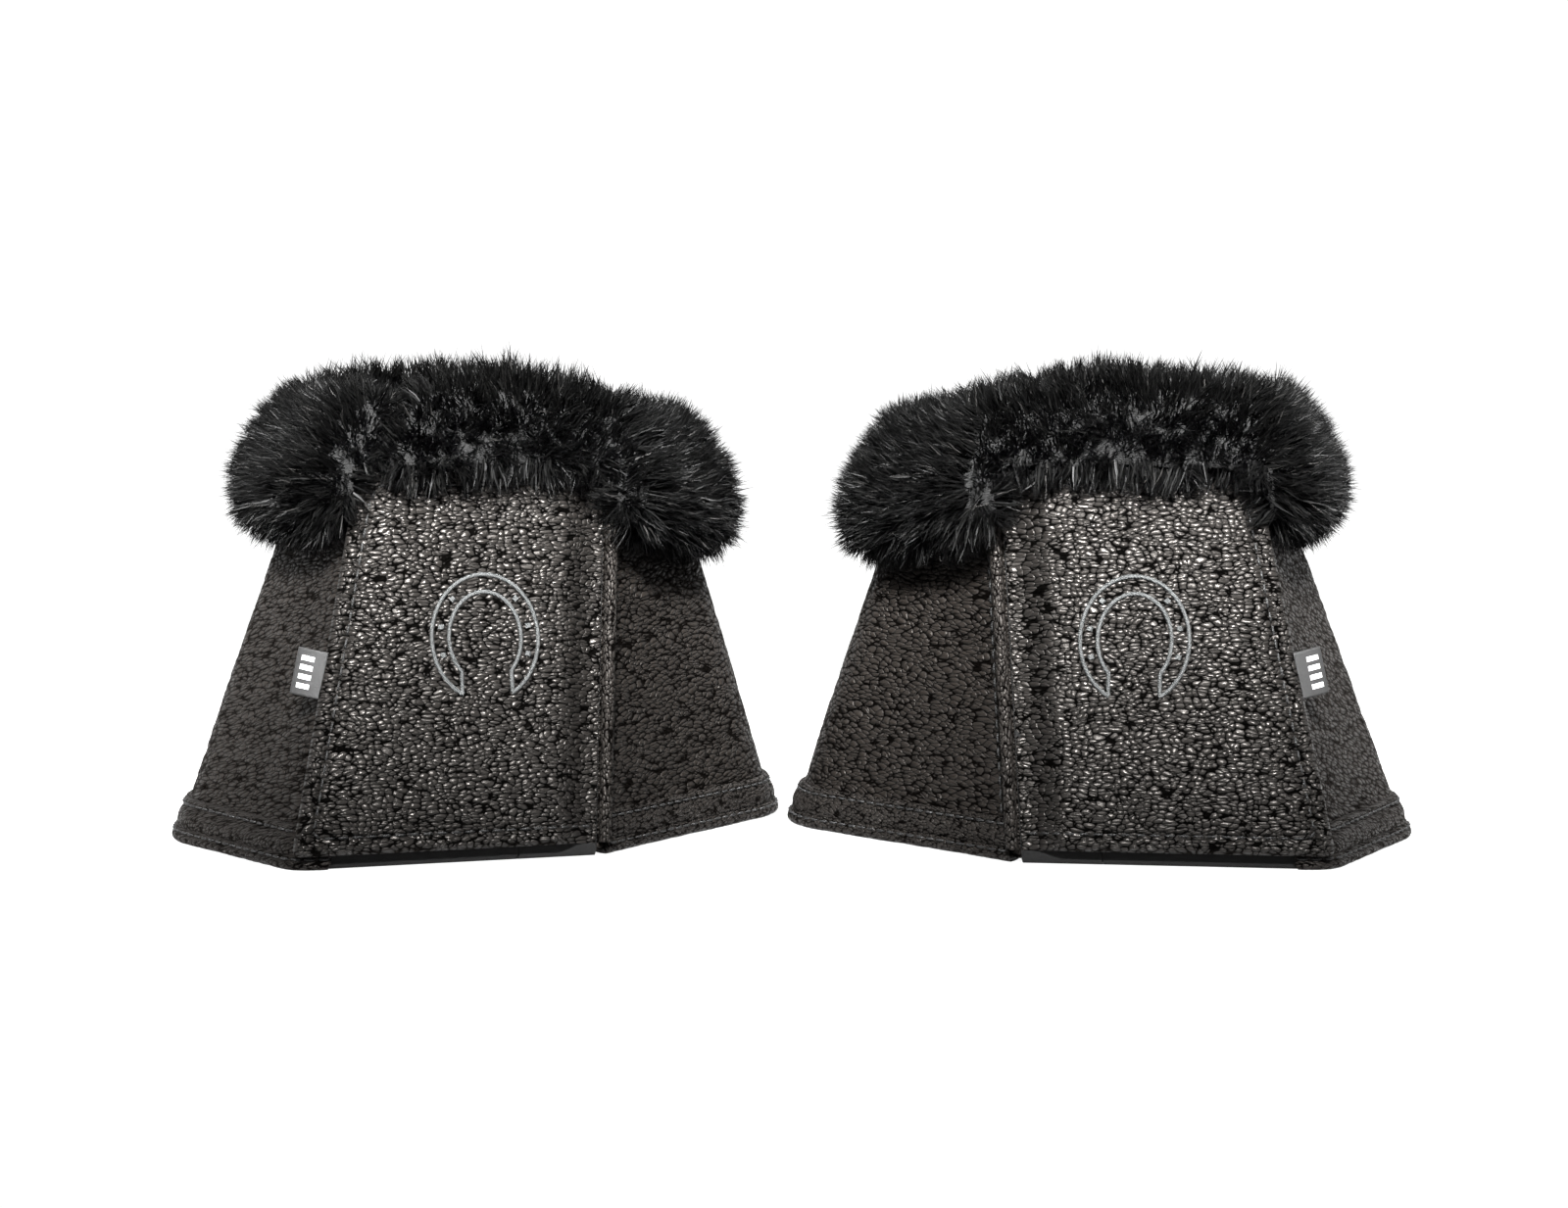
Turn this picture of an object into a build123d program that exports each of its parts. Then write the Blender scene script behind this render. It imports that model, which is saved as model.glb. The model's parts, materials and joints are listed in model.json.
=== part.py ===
"""A pair of hoof bell boots with plush collars, modelled in millimetres.

Each boot is a padded cone that wraps round a hoof. The wall is leather over foam over lining.
It divides into a rear shell, a front wrap that swings open at a fold on the outer side, and a
closing flap hinged along a seam on the inner side. One boot is the mirror image of the other.
A single boot is drawn with its flap towards -Y and its free edge towards -X, centred on the
hoof's axis, and the pair is then placed side by side, standing on the plane z = 0.
"""
from build123d import *
import os
from math import atan2, cos, degrees, radians, sin

os.makedirs("parts", exist_ok=True)

# ---- heights ----
rim_height = 101.0  # top edge of the flap
wall_height = 96.0  # top edge of the wall, inside the collar
panel_height = 84.0  # top edge of the panel under the flap
band_height = 11.0  # top edge of the stitched hem band
binding_height = 4.0  # top edge of the rolled binding
flap_bottom = 3.5  # the flap's lower edge, so that the panel shows below it
clear_height = 135.0  # above everything
under = -5.0  # below everything

# ---- plan of the wall, at the hem and at the rim ----
hem_radius, rim_radius = 86.7, 51.9
hem_shift, rim_shift = 3.5, 1.7  # x of the round back's centre
hem_front, rim_front = -50.0, -32.0  # y of the flat front, under the flap
hem_corner, rim_corner = -59.0, -37.5  # x of the corner below the flap's free edge
hem_seam, rim_seam = 20.0, 27.2  # x of the seam that the flap hinges on
hem_inner_angle, rim_inner_angle = 3.8, -3.8  # where the inner side meets the round back
hem_outer_angle, rim_outer_angle = 176.8, 156.5  # where the outer side meets it
hem_corner_fillet, rim_corner_fillet = 8.5, 8.5
hem_side_fillet, rim_side_fillet = 27.0, 17.0

# ---- layers ----
leather, foam, lining = 1.4, 4.0, 0.8
wall = leather + foam + lining
binding_out, binding_in, binding_under = 1.7, 0.8, 1.2
band_out = 1.3
thread = 0.6
slit = 0.3  # clearance between bodies along the fold
body_gap = 0.6  # clearance between the flap and the collar

# ---- the fold and the joint between the collar's ends ----
fold_angle = 150.07  # direction of the fold from the hoof's axis
butt_angle = 228.9  # direction of the joint between the collar's front ends
butt_gap = 0.5
leather_turn = 12.0  # how far the leather turns in under the flap
underlap = 21.0  # how far the rear shell's padding reaches past the seam, under the flap

# ---- flap ----
closing_gap = 0.4  # between the hook tape and the loop panel
hook_thickness, backing_thickness, padding_thickness = 1.0, 0.7, 2.0
flap_back = closing_gap + hook_thickness
flap_core = flap_back + backing_thickness
flap_skin = flap_core + padding_thickness
flap_face = flap_skin + 1.3
flap_overhang = 1.8  # how far the free edge stands past the corner
flap_edge = 1.3  # leather turned over at the edges
flap_seam_gap = 0.4
flap_top_radius, flap_low_radius = 4.5, 2.5
stitch_inset = 4.2
hook_low, hook_high, hook_margin, hook_seam_margin = 12.0, 79.0, 16.0, 24.0
roll_radius, roll_low, roll_high = 1.7, 4.2, 99.0
seam_stitch_offset, seam_stitch_low, seam_stitch_high = 5.6, 12.0, 78.0

# ---- collar ----
flap_collar_low = 86.5
collar_profile = [  # height, how far out and how far in from the rim's outline
    (79.0, 9.0, -7.5),
    (84.0, 15.0, -10.5),
    (91.0, 17.8, -14.5),
    (101.0, 17.2, -16.5),
    (111.0, 14.5, -16.0),
    (119.0, 9.5, -12.0),
    (125.0, 1.5, -4.0),
]
core_low, core_high, core_out, core_in = 97.5, 112.0, 6.0, -9.5
collar_plan = 98.0  # the outline that the collar follows is the wall's at this height
flap_sweep = -60.0  # direction that the opened flap reaches, from its hinge
roll_room = 3.9  # the collar and hem trim start this far from the seam

# ---- trim ----
tag_low, tag_high = 42.6, 54.8
tag_length, tag_thickness, tag_angle = 7.5, 1.3, 145.0
motif_height, motif_x = 57.0, -8.5
shoe_half_width, shoe_half_height, shoe_web, shoe_opening = 14.5, 17.0, 5.6, 12.0
satin_width, nail_radius, thread_relief = 1.1, 0.7, 0.5
nail_angles = (-18, 12, 45, 135, 168, 198)

# ---- the pair ----
pair = [  # name, mirrored, place of the hoof's axis, turn about it
    ("left", False, (-85.2, -10.0), 17.2),
    ("right", True, (85.4, -16.5), -7.3),
]
far = 400.0

# ---- the flat front's lean ----
lean = (rim_front - hem_front) / rim_height
slope = (1 + lean**2) ** 0.5  # length along the front for each millimetre of height
front_plane = Plane(origin=(0, hem_front, 0), x_dir=(1, 0, 0), z_dir=(0, -1, lean))


def at(z, hem_value, rim_value):
    """A dimension at height z that changes evenly from the hem to the rim."""
    return hem_value + (rim_value - hem_value) * z / rim_height


def seam_x(z):
    return at(z, hem_seam, rim_seam)


def corner_x(z):
    return at(z, hem_corner, rim_corner)


def front_y(z, out=0.0):
    """y of a plane parallel to the flat front, a distance out from it."""
    return at(z, hem_front, rim_front) - out * slope


def meet(p, u, q, v):
    """Where the line through p along u crosses the line through q along v."""
    cross = u.X * v.Y - u.Y * v.X
    step = ((q.X - p.X) * v.Y - (q.Y - p.Y) * v.X) / cross
    return p + u * step


def reach_circle(p, u, centre, radius):
    """Where the line through p along u leaves a circle."""
    along = (centre - p).dot(u)
    foot = p + u * along
    half = (radius**2 - (centre - foot).length ** 2) ** 0.5
    return foot + u * half


def outline(z, grow=0.0, plan_height=None):
    """The plan of the wall, moved outwards by grow, as a face at height z."""
    h = z if plan_height is None else plan_height
    centre = Vector(at(h, hem_shift, rim_shift), 0)
    radius = at(h, hem_radius, rim_radius)
    corner = Vector(corner_x(h), front_y(h))
    seam = Vector(seam_x(h), front_y(h))
    inner_turn = radians(at(h, hem_inner_angle, rim_inner_angle))
    outer_turn = radians(at(h, hem_outer_angle, rim_outer_angle))
    inner = centre + Vector(cos(inner_turn), sin(inner_turn)) * radius
    outer = centre + Vector(cos(outer_turn), sin(outer_turn)) * radius
    inner_way, outer_way = (inner - seam).normalized(), (outer - corner).normalized()
    across = Vector(1, 0)
    front_point = corner + Vector(0, -grow)
    inner_point = seam + Vector(inner_way.Y, -inner_way.X) * grow
    outer_point = corner + Vector(-outer_way.Y, outer_way.X) * grow
    a = meet(front_point, across, outer_point, outer_way)
    b = meet(front_point, across, inner_point, inner_way)
    c = reach_circle(inner_point, inner_way, centre, radius + grow)
    d = reach_circle(outer_point, outer_way, centre, radius + grow)
    back = centre + Vector(0, radius + grow)
    side_fillet = max(at(h, hem_side_fillet, rim_side_fillet) + grow, 1.5)
    corner_fillet = max(at(h, hem_corner_fillet, rim_corner_fillet) + grow, 1.5)
    with BuildSketch(Plane.XY.offset(z)) as face:
        with BuildLine():
            Line(a, b)
            Line(b, c)
            ThreePointArc(c, back, d)
            Line(d, a)
        make_face()
        for point, size in ((a, corner_fillet), (c, side_fillet), (d, side_fillet)):
            place = Vector(point.X, point.Y, z)
            fillet(face.vertices().sort_by_distance(place)[0], radius=size)
    return face.sketch


def ring(low, high, out, into):
    """A layer of the wall between two heights and two distances from its outer face."""
    with BuildPart() as layer:
        loft([outline(low, out), outline(high, out)], ruled=True)
        loft([outline(low, into), outline(high, into)], ruled=True, mode=Mode.SUBTRACT)
    return layer.part


def region(plan, low=under, high=clear_height):
    """A tall solid over a plan, a function of height that gives the corners of a polygon."""
    faces = []
    for z in (low, high):
        with BuildSketch(Plane.XY.offset(z)) as face:
            with BuildLine():
                Polyline(*plan(z), close=True)
            make_face()
        faces.append(face.sketch)
    with BuildPart() as solid:
        loft(faces, ruled=True)
    return solid.part


def fold_points(side):
    """Two points of the fold's plane, moved sideways by half the slit."""
    turn = radians(fold_angle)
    shift = Vector(sin(turn), -cos(turn)) * side * slit / 2
    return shift, shift + Vector(cos(turn), sin(turn)) * far


def butt_points(side):
    """Two points of the plane between the collar's front ends, moved sideways."""
    turn = radians(butt_angle)
    shift = Vector(rim_shift, 0) + Vector(-sin(turn), cos(turn)) * side * butt_gap / 2
    return shift, shift + Vector(cos(turn), sin(turn)) * far


def rear_plan(z):
    near, away = fold_points(1)
    edge = seam_x(z)
    return [near, away, (away.X, far), (far, far), (far, -far), (edge, -far), (edge, -10)]


def wrap_plan(z):
    near, away = fold_points(-1)
    edge = seam_x(z) - underlap - slit
    return [near, (edge, -10), (edge, -far), (-far, -far), (-far, away.Y), away]


def wrap_side_plan(z):
    """The part of the wrap that isn't behind the flap: it alone reaches up into the collar."""
    near, away = fold_points(-1)
    joint, joint_away = butt_points(-1)
    return [near, joint, joint_away, (-far, joint_away.Y), (-far, away.Y), away]


def flap_collar_plan(z):
    joint, joint_away = butt_points(1)
    edge = seam_x(z) - flap_seam_gap
    hinge_y = front_y(z, flap_face)
    return [
        joint,
        joint_away,
        (joint_away.X, -far),
        (edge - 24, -far),
        (edge - 24, hinge_y - 9.0),
        (edge - 6, hinge_y),
        (edge, hinge_y),
        (edge, -10),
    ]


def rear_collar_plan(z):
    near, away = fold_points(1)
    edge = seam_x(z) + flap_seam_gap
    beside_roll = seam_x(z) + roll_room
    hinge_y = front_y(z, flap_face)
    turn = radians(flap_sweep)
    return [
        near,
        away,
        (away.X, far),
        (far, far),
        (far, -far),
        (beside_roll + cos(turn) * far, hinge_y + sin(turn) * far),
        (beside_roll, hinge_y),
        (beside_roll, front_y(z) + 1.9),
        (edge, front_y(z) + 1.9),
        (edge, -10),
    ]


def cut_to(piece, *regions):
    """The part of a piece that lies in all the regions."""
    with BuildPart() as kept:
        add(piece)
        for room in regions:
            add(room, mode=Mode.INTERSECT)
    return kept.part


def less(piece, *tools):
    with BuildPart() as left:
        add(piece)
        for tool in tools:
            add(tool, mode=Mode.SUBTRACT)
    return left.part


def behind_front(out):
    """Everything behind a plane parallel to the flat front."""
    def plan(z):
        return [(-far, front_y(z, out)), (far, front_y(z, out)), (far, far), (-far, far)]
    return region(plan)


def between_x(left, right, low=under, high=clear_height):
    """A region between two functions of height that give x."""
    def plan(z):
        return [(left(z), -far), (right(z), -far), (right(z), far), (left(z), far)]
    return region(plan, low, high)


# ---- layers of the wall ----
def channel(layers):
    """A binding that holds the bottom edges of all three layers."""
    return less(ring(0.0, binding_height, binding_out, -wall - binding_in), layers)


def thread_rows():
    """Two rows of thread, one on the binding and one near the band's top edge."""
    low_row, high_row = binding_height - 1.0, band_height - 1.0
    with BuildPart() as rows:
        add(ring(low_row, low_row + thread, binding_out + 0.5, binding_out))
        add(ring(high_row, high_row + thread, band_out + 0.5, band_out))
    return rows.part


def panel_ring(padding):
    """The loop panel's cloth: down the front, under the foam and lining and up inside."""
    filled = ring(0.0, panel_height, 0.0, -wall - binding_in)
    above_fold = ring(binding_height, panel_height + 5, -wall, -wall - binding_in - 1)
    return less(filled, padding, above_fold)


# ---- collar ----
def plush_roll():
    """The whole collar as a closed ring, solid through."""
    outside = [outline(z, out, collar_plan) for z, out, into in collar_profile]
    inside = [outline(z, into, collar_plan) for z, out, into in collar_profile]
    with BuildPart() as roll:
        loft(outside, ruled=True)
        loft(inside, ruled=True, mode=Mode.SUBTRACT)
    return roll.part


def core_ring():
    """The foam ring that the plush is sewn round."""
    with BuildPart() as core:
        loft([outline(z, core_out, collar_plan) for z in (core_low, core_high)], ruled=True)
        loft([outline(z, core_in, collar_plan) for z in (core_low, core_high)], ruled=True,
             mode=Mode.SUBTRACT)
    return core.part


def side_profile(points):
    """A bar across the whole front, from corners given as (y, z)."""
    with BuildPart() as bar:
        with BuildSketch(Plane.YZ.offset(-far)):
            with BuildLine():
                Polyline(*points, close=True)
            make_face()
        extrude(amount=2 * far)
    return bar.part


def flap_room(clearance):
    """What the flap takes up in front of the collar, and the way out of it."""
    top = rim_height + flap_face * lean + clearance
    low, back = 60.0, flap_back - clearance
    return side_profile([
        (front_y(low, back), low),
        (front_y(top, back), top),
        (front_y(top, flap_face), top),
        (front_y(top, flap_face) - 14.0, top + 6.0),
        (-far, top + 6.0),
        (-far, low),
    ])


# ---- flap ----
def flap_left(z):
    return corner_x(z) - flap_overhang


def flap_slab(low_out, high_out, inset=0.0, seam_inset=0.0, low=flap_bottom, high=rim_height,
              left_inset=None):
    """A flat layer of the flap between two distances out from the front plane."""
    side = inset if left_inset is None else left_inset
    low_z, high_z = low + inset, high - inset
    corners = [
        (flap_left(low_z) + side, low_z * slope),
        (seam_x(low_z) - flap_seam_gap - seam_inset, low_z * slope),
        (seam_x(high_z) - flap_seam_gap - seam_inset, high_z * slope),
        (flap_left(high_z) + side, high_z * slope),
    ]
    with BuildPart() as slab:
        with BuildSketch(front_plane.offset(low_out)) as face:
            with BuildLine():
                Polyline(*corners, close=True)
            make_face()
            for corner, radius in ((corners[3], flap_top_radius), (corners[0], flap_low_radius)):
                nearest = face.vertices().sort_by_distance(Vector(*corner))[0]
                fillet(nearest, radius=max(radius - inset, 0.5))
        extrude(amount=high_out - low_out)
    return slab.part


def flap_leather():
    """The face of the flap, turned over at its three free edges."""
    whole = flap_slab(flap_back, flap_face)
    filling = flap_slab(flap_back - 1.0, flap_skin, flap_edge, -1.0)
    return less(whole, filling)


def flap_stitching():
    """A row of thread inside the free edges."""
    top = flap_face + 0.4
    outer = flap_slab(flap_face, top, stitch_inset, 3.0)
    inner = flap_slab(flap_face - 1.0, top + 1.0, stitch_inset + thread, 1.0)
    return less(outer, inner)


def horseshoe(shrink):
    """A horseshoe's shape, drawn in from its edge by shrink."""
    wide, tall = shoe_half_width - shrink, shoe_half_height - shrink
    web = shoe_web - 2 * shrink
    with BuildSketch() as shoe:
        Ellipse(wide, tall)
        Ellipse(wide - web, tall - web, mode=Mode.SUBTRACT)
        with Locations((0, -shoe_half_height)):
            Rectangle(shoe_opening + 2 * shrink, shoe_half_height + shrink, mode=Mode.SUBTRACT)
    return shoe.sketch


def motif():
    """A raised embroidered outline of a horseshoe, with its nail holes."""
    middle_x, middle_y = shoe_half_width - shoe_web / 2, shoe_half_height - shoe_web / 2
    with BuildPart() as shoe:
        with BuildSketch(front_plane.offset(flap_face)):
            with Locations((motif_x, motif_height * slope)):
                add(horseshoe(0.0))
                add(horseshoe(satin_width), mode=Mode.SUBTRACT)
            for turn in nail_angles:
                nail_x = motif_x + middle_x * cos(radians(turn))
                with Locations((nail_x, motif_height * slope + middle_y * sin(radians(turn)))):
                    Circle(nail_radius)
        extrude(amount=thread_relief)
    return shoe.part


def size_tag():
    """A folded ribbon that stands out from the free edge."""
    middle = (tag_low + tag_high) / 2
    tilt = degrees(atan2(rim_corner - hem_corner, rim_height))
    root = (flap_left(middle) - 0.8, front_y(middle, (flap_back + flap_face) / 2), middle)
    turn = radians(tag_angle)
    along = Vector(cos(turn), sin(turn), 0).rotate(Axis.Y, tilt)
    up = Vector(0, 0, 1).rotate(Axis.Y, tilt)
    with BuildPart() as tag:
        with BuildSketch(Plane(origin=root, x_dir=up, z_dir=along)):
            RectangleRounded(tag_high - tag_low, tag_thickness, 0.4)
        extrude(amount=tag_length)
    return tag.part


# ---- seam ----
def beside_seam(z, along, out):
    """A point beside the seam: along the inner side and out from its face."""
    centre = Vector(at(z, hem_shift, rim_shift), 0)
    turn = radians(at(z, hem_inner_angle, rim_inner_angle))
    seam = Vector(seam_x(z), front_y(z))
    way = (centre + Vector(cos(turn), sin(turn)) * at(z, hem_radius, rim_radius) - seam).normalized()
    return seam + way * along + Vector(way.Y, -way.X) * out


def rod(along, radius, low, high):
    """A round cord on the inner side's face, parallel to the seam."""
    faces = []
    for z in (low, high):
        spot = beside_seam(z, along, radius + 0.1)
        with BuildSketch(Plane.XY.offset(z)) as face:
            with Locations((spot.X, spot.Y)):
                Circle(radius)
        faces.append(face.sketch)
    with BuildPart() as cord:
        loft(faces, ruled=True)
    return cord.part


# ---- one boot ----
def build_boot():
    rear_room, wrap_room, side_room = region(rear_plan), region(wrap_plan), region(wrap_side_plan)
    rear_collar_room, flap_collar_room = region(rear_collar_plan), region(flap_collar_plan)
    with BuildPart() as wrap_walls:
        add(side_room)
        add(region(wrap_plan, under, panel_height))
    wrap_wall_room = wrap_walls.part
    front_low = side_profile([(-far, under), (-20, under), (-20, panel_height), (-far, panel_height)])
    underlap_room = cut_to(between_x(lambda z: seam_x(z) - underlap, seam_x), front_low)
    with BuildPart() as rear_walls:
        add(rear_room)
        add(underlap_room)
    rear_wall_room = rear_walls.part
    turned_in = between_x(lambda z: -far, lambda z: corner_x(z) + leather_turn)
    past_turn = between_x(lambda z: corner_x(z) + leather_turn, lambda z: far)
    clear_of_flap = behind_front(0.3)
    past_roll = between_x(lambda z: seam_x(z) + roll_room, lambda z: far)
    with BuildPart() as beside_roll_or_back:
        add(past_roll)
        add(side_profile([(0, under), (far, under), (far, clear_height), (0, clear_height)]))
    rear_trim_room = beside_roll_or_back.part

    leather_ring = ring(binding_under, wall_height, 0.0, -leather)
    foam_ring = ring(binding_under, wall_height, -leather, -leather - foam)
    lining_ring = ring(binding_under, wall_height, -leather - foam, -wall)
    wall_ring = ring(binding_under, wall_height, 0.0, -wall)
    band_ring = less(ring(binding_height, band_height, band_out, -1.0), wall_ring)
    padding_ring = ring(binding_under, wall_height, -leather, -wall)
    binding_ring = channel(wall_ring)
    cloth_ring = panel_ring(padding_ring)
    rows = thread_rows()
    roll, core = plush_roll(), core_ring()
    hollow_roll = less(roll, ring(binding_under, wall_height, 0.1, -wall - 0.1), core)
    above_panel = region(flap_collar_plan, flap_collar_low, clear_height)
    flap_core_ring = cut_to(core, above_panel, behind_front(-1.5))
    flap_roll = less(cut_to(roll, above_panel), flap_room(0.1), flap_core_ring)
    swinging = between_x(lambda z: flap_left(z) - body_gap, lambda z: far)
    flap_way_out = cut_to(flap_room(body_gap), swinging)
    return {
        "rear_leather": cut_to(leather_ring, rear_room),
        "rear_foam": cut_to(foam_ring, rear_wall_room),
        "rear_lining": cut_to(lining_ring, rear_wall_room),
        "rear_underlap_cloth": cut_to(cloth_ring, underlap_room),
        "rear_hem_band": cut_to(band_ring, rear_room, rear_trim_room),
        "rear_hem_binding": cut_to(binding_ring, rear_room),
        "rear_hem_stitching": cut_to(rows, rear_room, rear_trim_room),
        "rear_collar_fur": cut_to(hollow_roll, rear_collar_room),
        "rear_collar_core": cut_to(core, rear_collar_room),
        "seam_roll": rod(1.19, roll_radius, roll_low, roll_high),
        "seam_stitching": rod(seam_stitch_offset, thread / 2, seam_stitch_low, seam_stitch_high),
        "wrap_leather": cut_to(leather_ring, wrap_wall_room, turned_in),
        "wrap_foam": cut_to(foam_ring, wrap_wall_room),
        "wrap_lining": cut_to(lining_ring, wrap_wall_room),
        "wrap_hem_band": cut_to(band_ring, wrap_room, turned_in, clear_of_flap),
        "wrap_hem_binding": cut_to(binding_ring, wrap_room, turned_in, clear_of_flap),
        "wrap_hem_stitching": cut_to(rows, wrap_room, turned_in, clear_of_flap),
        "wrap_collar_fur": less(cut_to(hollow_roll, side_room), flap_way_out),
        "wrap_collar_core": less(cut_to(core, side_room), flap_way_out),
        "loop_panel": cut_to(cloth_ring, wrap_room, past_turn, front_low),
        "flap_leather": flap_leather(),
        "flap_padding": flap_slab(flap_core, flap_skin - 0.05, flap_edge + 0.05),
        "flap_backing": flap_slab(flap_back, flap_core, flap_edge + 0.05),
        "flap_hook_tape": flap_slab(closing_gap, flap_back, 0.0, hook_seam_margin,
                                    hook_low, hook_high, hook_margin),
        "flap_stitching": flap_stitching(),
        "flap_collar_fur": flap_roll,
        "flap_collar_core": flap_core_ring,
        "motif": motif(),
        "size_tag": size_tag(),
    }


# ---- the pair ----
boot = build_boot()
for side, mirrored, (x, y), turn in pair:
    for name, piece in boot.items():
        shaped = mirror(piece, about=Plane.YZ) if mirrored else piece
        with BuildPart() as node:
            add(shaped.moved(Location((x, y, 0), (0, 0, turn))))
        node.part.label = f"{side}_{name}"
        export_step(node.part, f"parts/{side}_{name}.step")
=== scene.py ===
"""A pair of black leather bell boots with plush collars.

Every surface is worked out in a boot's own frame, in millimetres: the flap faces -Y, its free
edge is towards -X and z = 0 is the ground. Boot.place then puts it in the row frame, in metres.
"""
import json
from math import atan2, ceil, cos, hypot, pi, radians, sin

import bpy
import numpy as np
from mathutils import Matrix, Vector


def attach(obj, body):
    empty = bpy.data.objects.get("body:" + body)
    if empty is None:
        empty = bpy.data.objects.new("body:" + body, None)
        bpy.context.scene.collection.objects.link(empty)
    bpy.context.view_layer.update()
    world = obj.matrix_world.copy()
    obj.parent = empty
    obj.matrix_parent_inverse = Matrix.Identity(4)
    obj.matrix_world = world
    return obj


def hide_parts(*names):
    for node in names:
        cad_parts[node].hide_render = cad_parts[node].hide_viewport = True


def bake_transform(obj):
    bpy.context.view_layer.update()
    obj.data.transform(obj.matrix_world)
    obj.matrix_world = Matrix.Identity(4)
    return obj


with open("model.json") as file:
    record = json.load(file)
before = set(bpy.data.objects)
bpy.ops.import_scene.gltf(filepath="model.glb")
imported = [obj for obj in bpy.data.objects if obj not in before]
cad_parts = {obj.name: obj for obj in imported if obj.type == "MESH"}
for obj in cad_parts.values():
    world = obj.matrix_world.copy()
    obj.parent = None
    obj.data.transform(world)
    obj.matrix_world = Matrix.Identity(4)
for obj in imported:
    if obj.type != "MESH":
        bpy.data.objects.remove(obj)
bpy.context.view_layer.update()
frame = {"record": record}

MM = 0.001

# ---- sizes of one boot, in millimetres and degrees ----
RIM, WALL_TOP, PANEL_TOP = 101.0, 96.0, 84.0  # tops of the flap, the wall and the loop panel
FLAP_BOTTOM = 3.5
HEM = dict(radius=86.7, shift=3.5, front=-50.0, corner=-59.0, seam=20.0, inner=3.8, outer=176.8,
           corner_fillet=8.5, side_fillet=27.0)
TOP = dict(radius=51.9, shift=1.7, front=-32.0, corner=-37.5, seam=27.2, inner=-3.8, outer=156.5,
           corner_fillet=8.5, side_fillet=17.0)
LEATHER, FOAM, LINING = 1.4, 4.0, 0.8
WALL = LEATHER + FOAM + LINING
FOLD_ANGLE, FOLD_RADIUS = 150.07, 88.0  # the wrap's hinge, from the hoof's axis
BUTT_ANGLE = 228.9  # direction of the joint between the collar's front ends
BLEND = 20.0  # the wrap's cover starts this far, and 1 mm more, short of the fold
UNDERLAP, LEATHER_TURN = 21.0, 12.0  # widths of the shell's cloth and of the wrap's leather under the flap
FLAP_BACK, FLAP_FACE, FLAP_OVERHANG, FLAP_SEAM_GAP = 1.4, 5.4, 1.8, 0.4
FLAP_BEVEL = 12.0  # the flap slopes down to the seam over this width
STITCH_INSET = 4.4
ROLL_RADIUS = 1.7
COLLAR_PLAN = 98.0  # the collar follows the wall's outline at this height
COLLAR_SKIN = 7.0  # depth of the pile
COLLAR_BULGE = 3.2  # the collar hangs this much further out at the boot's two sides
COLLAR_RISE, COLLAR_INNER_DROP, COLLAR_OUTER_DROP = 6.5, 12.0, 6.5  # of its height round the boot
COLLAR = [(9.0, 79.0), (15.0, 84.0), (17.8, 91.0), (17.2, 101.0), (14.5, 111.0), (9.5, 119.0), (1.5, 125.0),
          (-4.0, 125.0), (-12.0, 119.0), (-16.0, 111.0), (-16.5, 101.0), (-14.5, 91.0), (-10.5, 84.0),
          (-7.5, 79.0)]  # how far out from the wall's outline, and height
LEAN = (TOP["front"] - HEM["front"]) / RIM
SLOPE = hypot(1.0, LEAN)
MOTIF = (-8.5, 57.0)  # x and height of its middle
TAG_LOW, TAG_HIGH, TAG_LENGTH, TAG_ANGLE = 42.6, 54.8, 7.5, 145.0


def at(z, name):
    """A dimension of the plan at height z."""
    return HEM[name] + (TOP[name] - HEM[name]) * z / RIM


def unit(v):
    return v / np.linalg.norm(v)


# ---- the boots' places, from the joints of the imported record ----
class Boot:
    """Where one boot stands, worked out from its two hinges."""

    def __init__(self, side, mirrored):
        self.side, self.mirrored = side, mirrored
        self.sign = -1.0 if mirrored else 1.0
        joints = {j["name"]: j for j in frame["record"]["behaviour"]["joints"]}
        wrap, flap = joints[f"{side}_wrap_open"], joints[f"{side}_flap_open"]
        fold = radians(FOLD_ANGLE)
        a = np.array([FOLD_RADIUS * cos(fold) * self.sign, FOLD_RADIUS * sin(fold)])
        b = np.array([(at(0, "seam") - 0.2) * self.sign, at(0, "front") - FLAP_FACE * SLOPE])
        wa, wb = np.array(wrap["pos_m"][:2]) / MM, np.array(flap["pos_m"][:2]) / MM
        d, wd = b - a, wb - wa
        self.turn = atan2(wd[1], wd[0]) - atan2(d[1], d[0])
        c, s = cos(self.turn), sin(self.turn)
        self.spin = np.array([[c, -s], [s, c]])
        self.centre = wa - self.spin @ a

    def place(self, points):
        """Local millimetres to metres in the row frame."""
        p = np.array(points, float).reshape(-1, 3).copy()
        p[:, 0] *= self.sign
        p[:, :2] = p[:, :2] @ self.spin.T + self.centre
        return p * MM

    def body(self, name):
        return f"{self.side}_{name}"


# ---- plan of the wall ----
def arc_length(points):
    """Distance along flat points from the first one."""
    return np.concatenate([[0], np.cumsum(np.hypot(*np.diff(np.array(points), axis=0).T))])


def points_at(s, length, points):
    """Points at distances s along a line."""
    return np.column_stack([np.interp(s, length, column) for column in points.T])


def cross_lines(p, u, q, v):
    step = ((q[0] - p[0]) * v[1] - (q[1] - p[1]) * v[0]) / (u[0] * v[1] - u[1] * v[0])
    return p + u * step


def arc(centre, start, end, step):
    """Points counter-clockwise round a centre from start to end."""
    r = np.linalg.norm(start - centre)
    a0 = atan2(*(start - centre)[::-1])
    a1 = atan2(*(end - centre)[::-1])
    while a1 < a0:
        a1 += 2 * pi
    n = max(3, int(ceil(r * (a1 - a0) / step)))
    a = np.linspace(a0, a1, n)
    return np.column_stack([centre[0] + r * np.cos(a), centre[1] + r * np.sin(a)])


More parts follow.
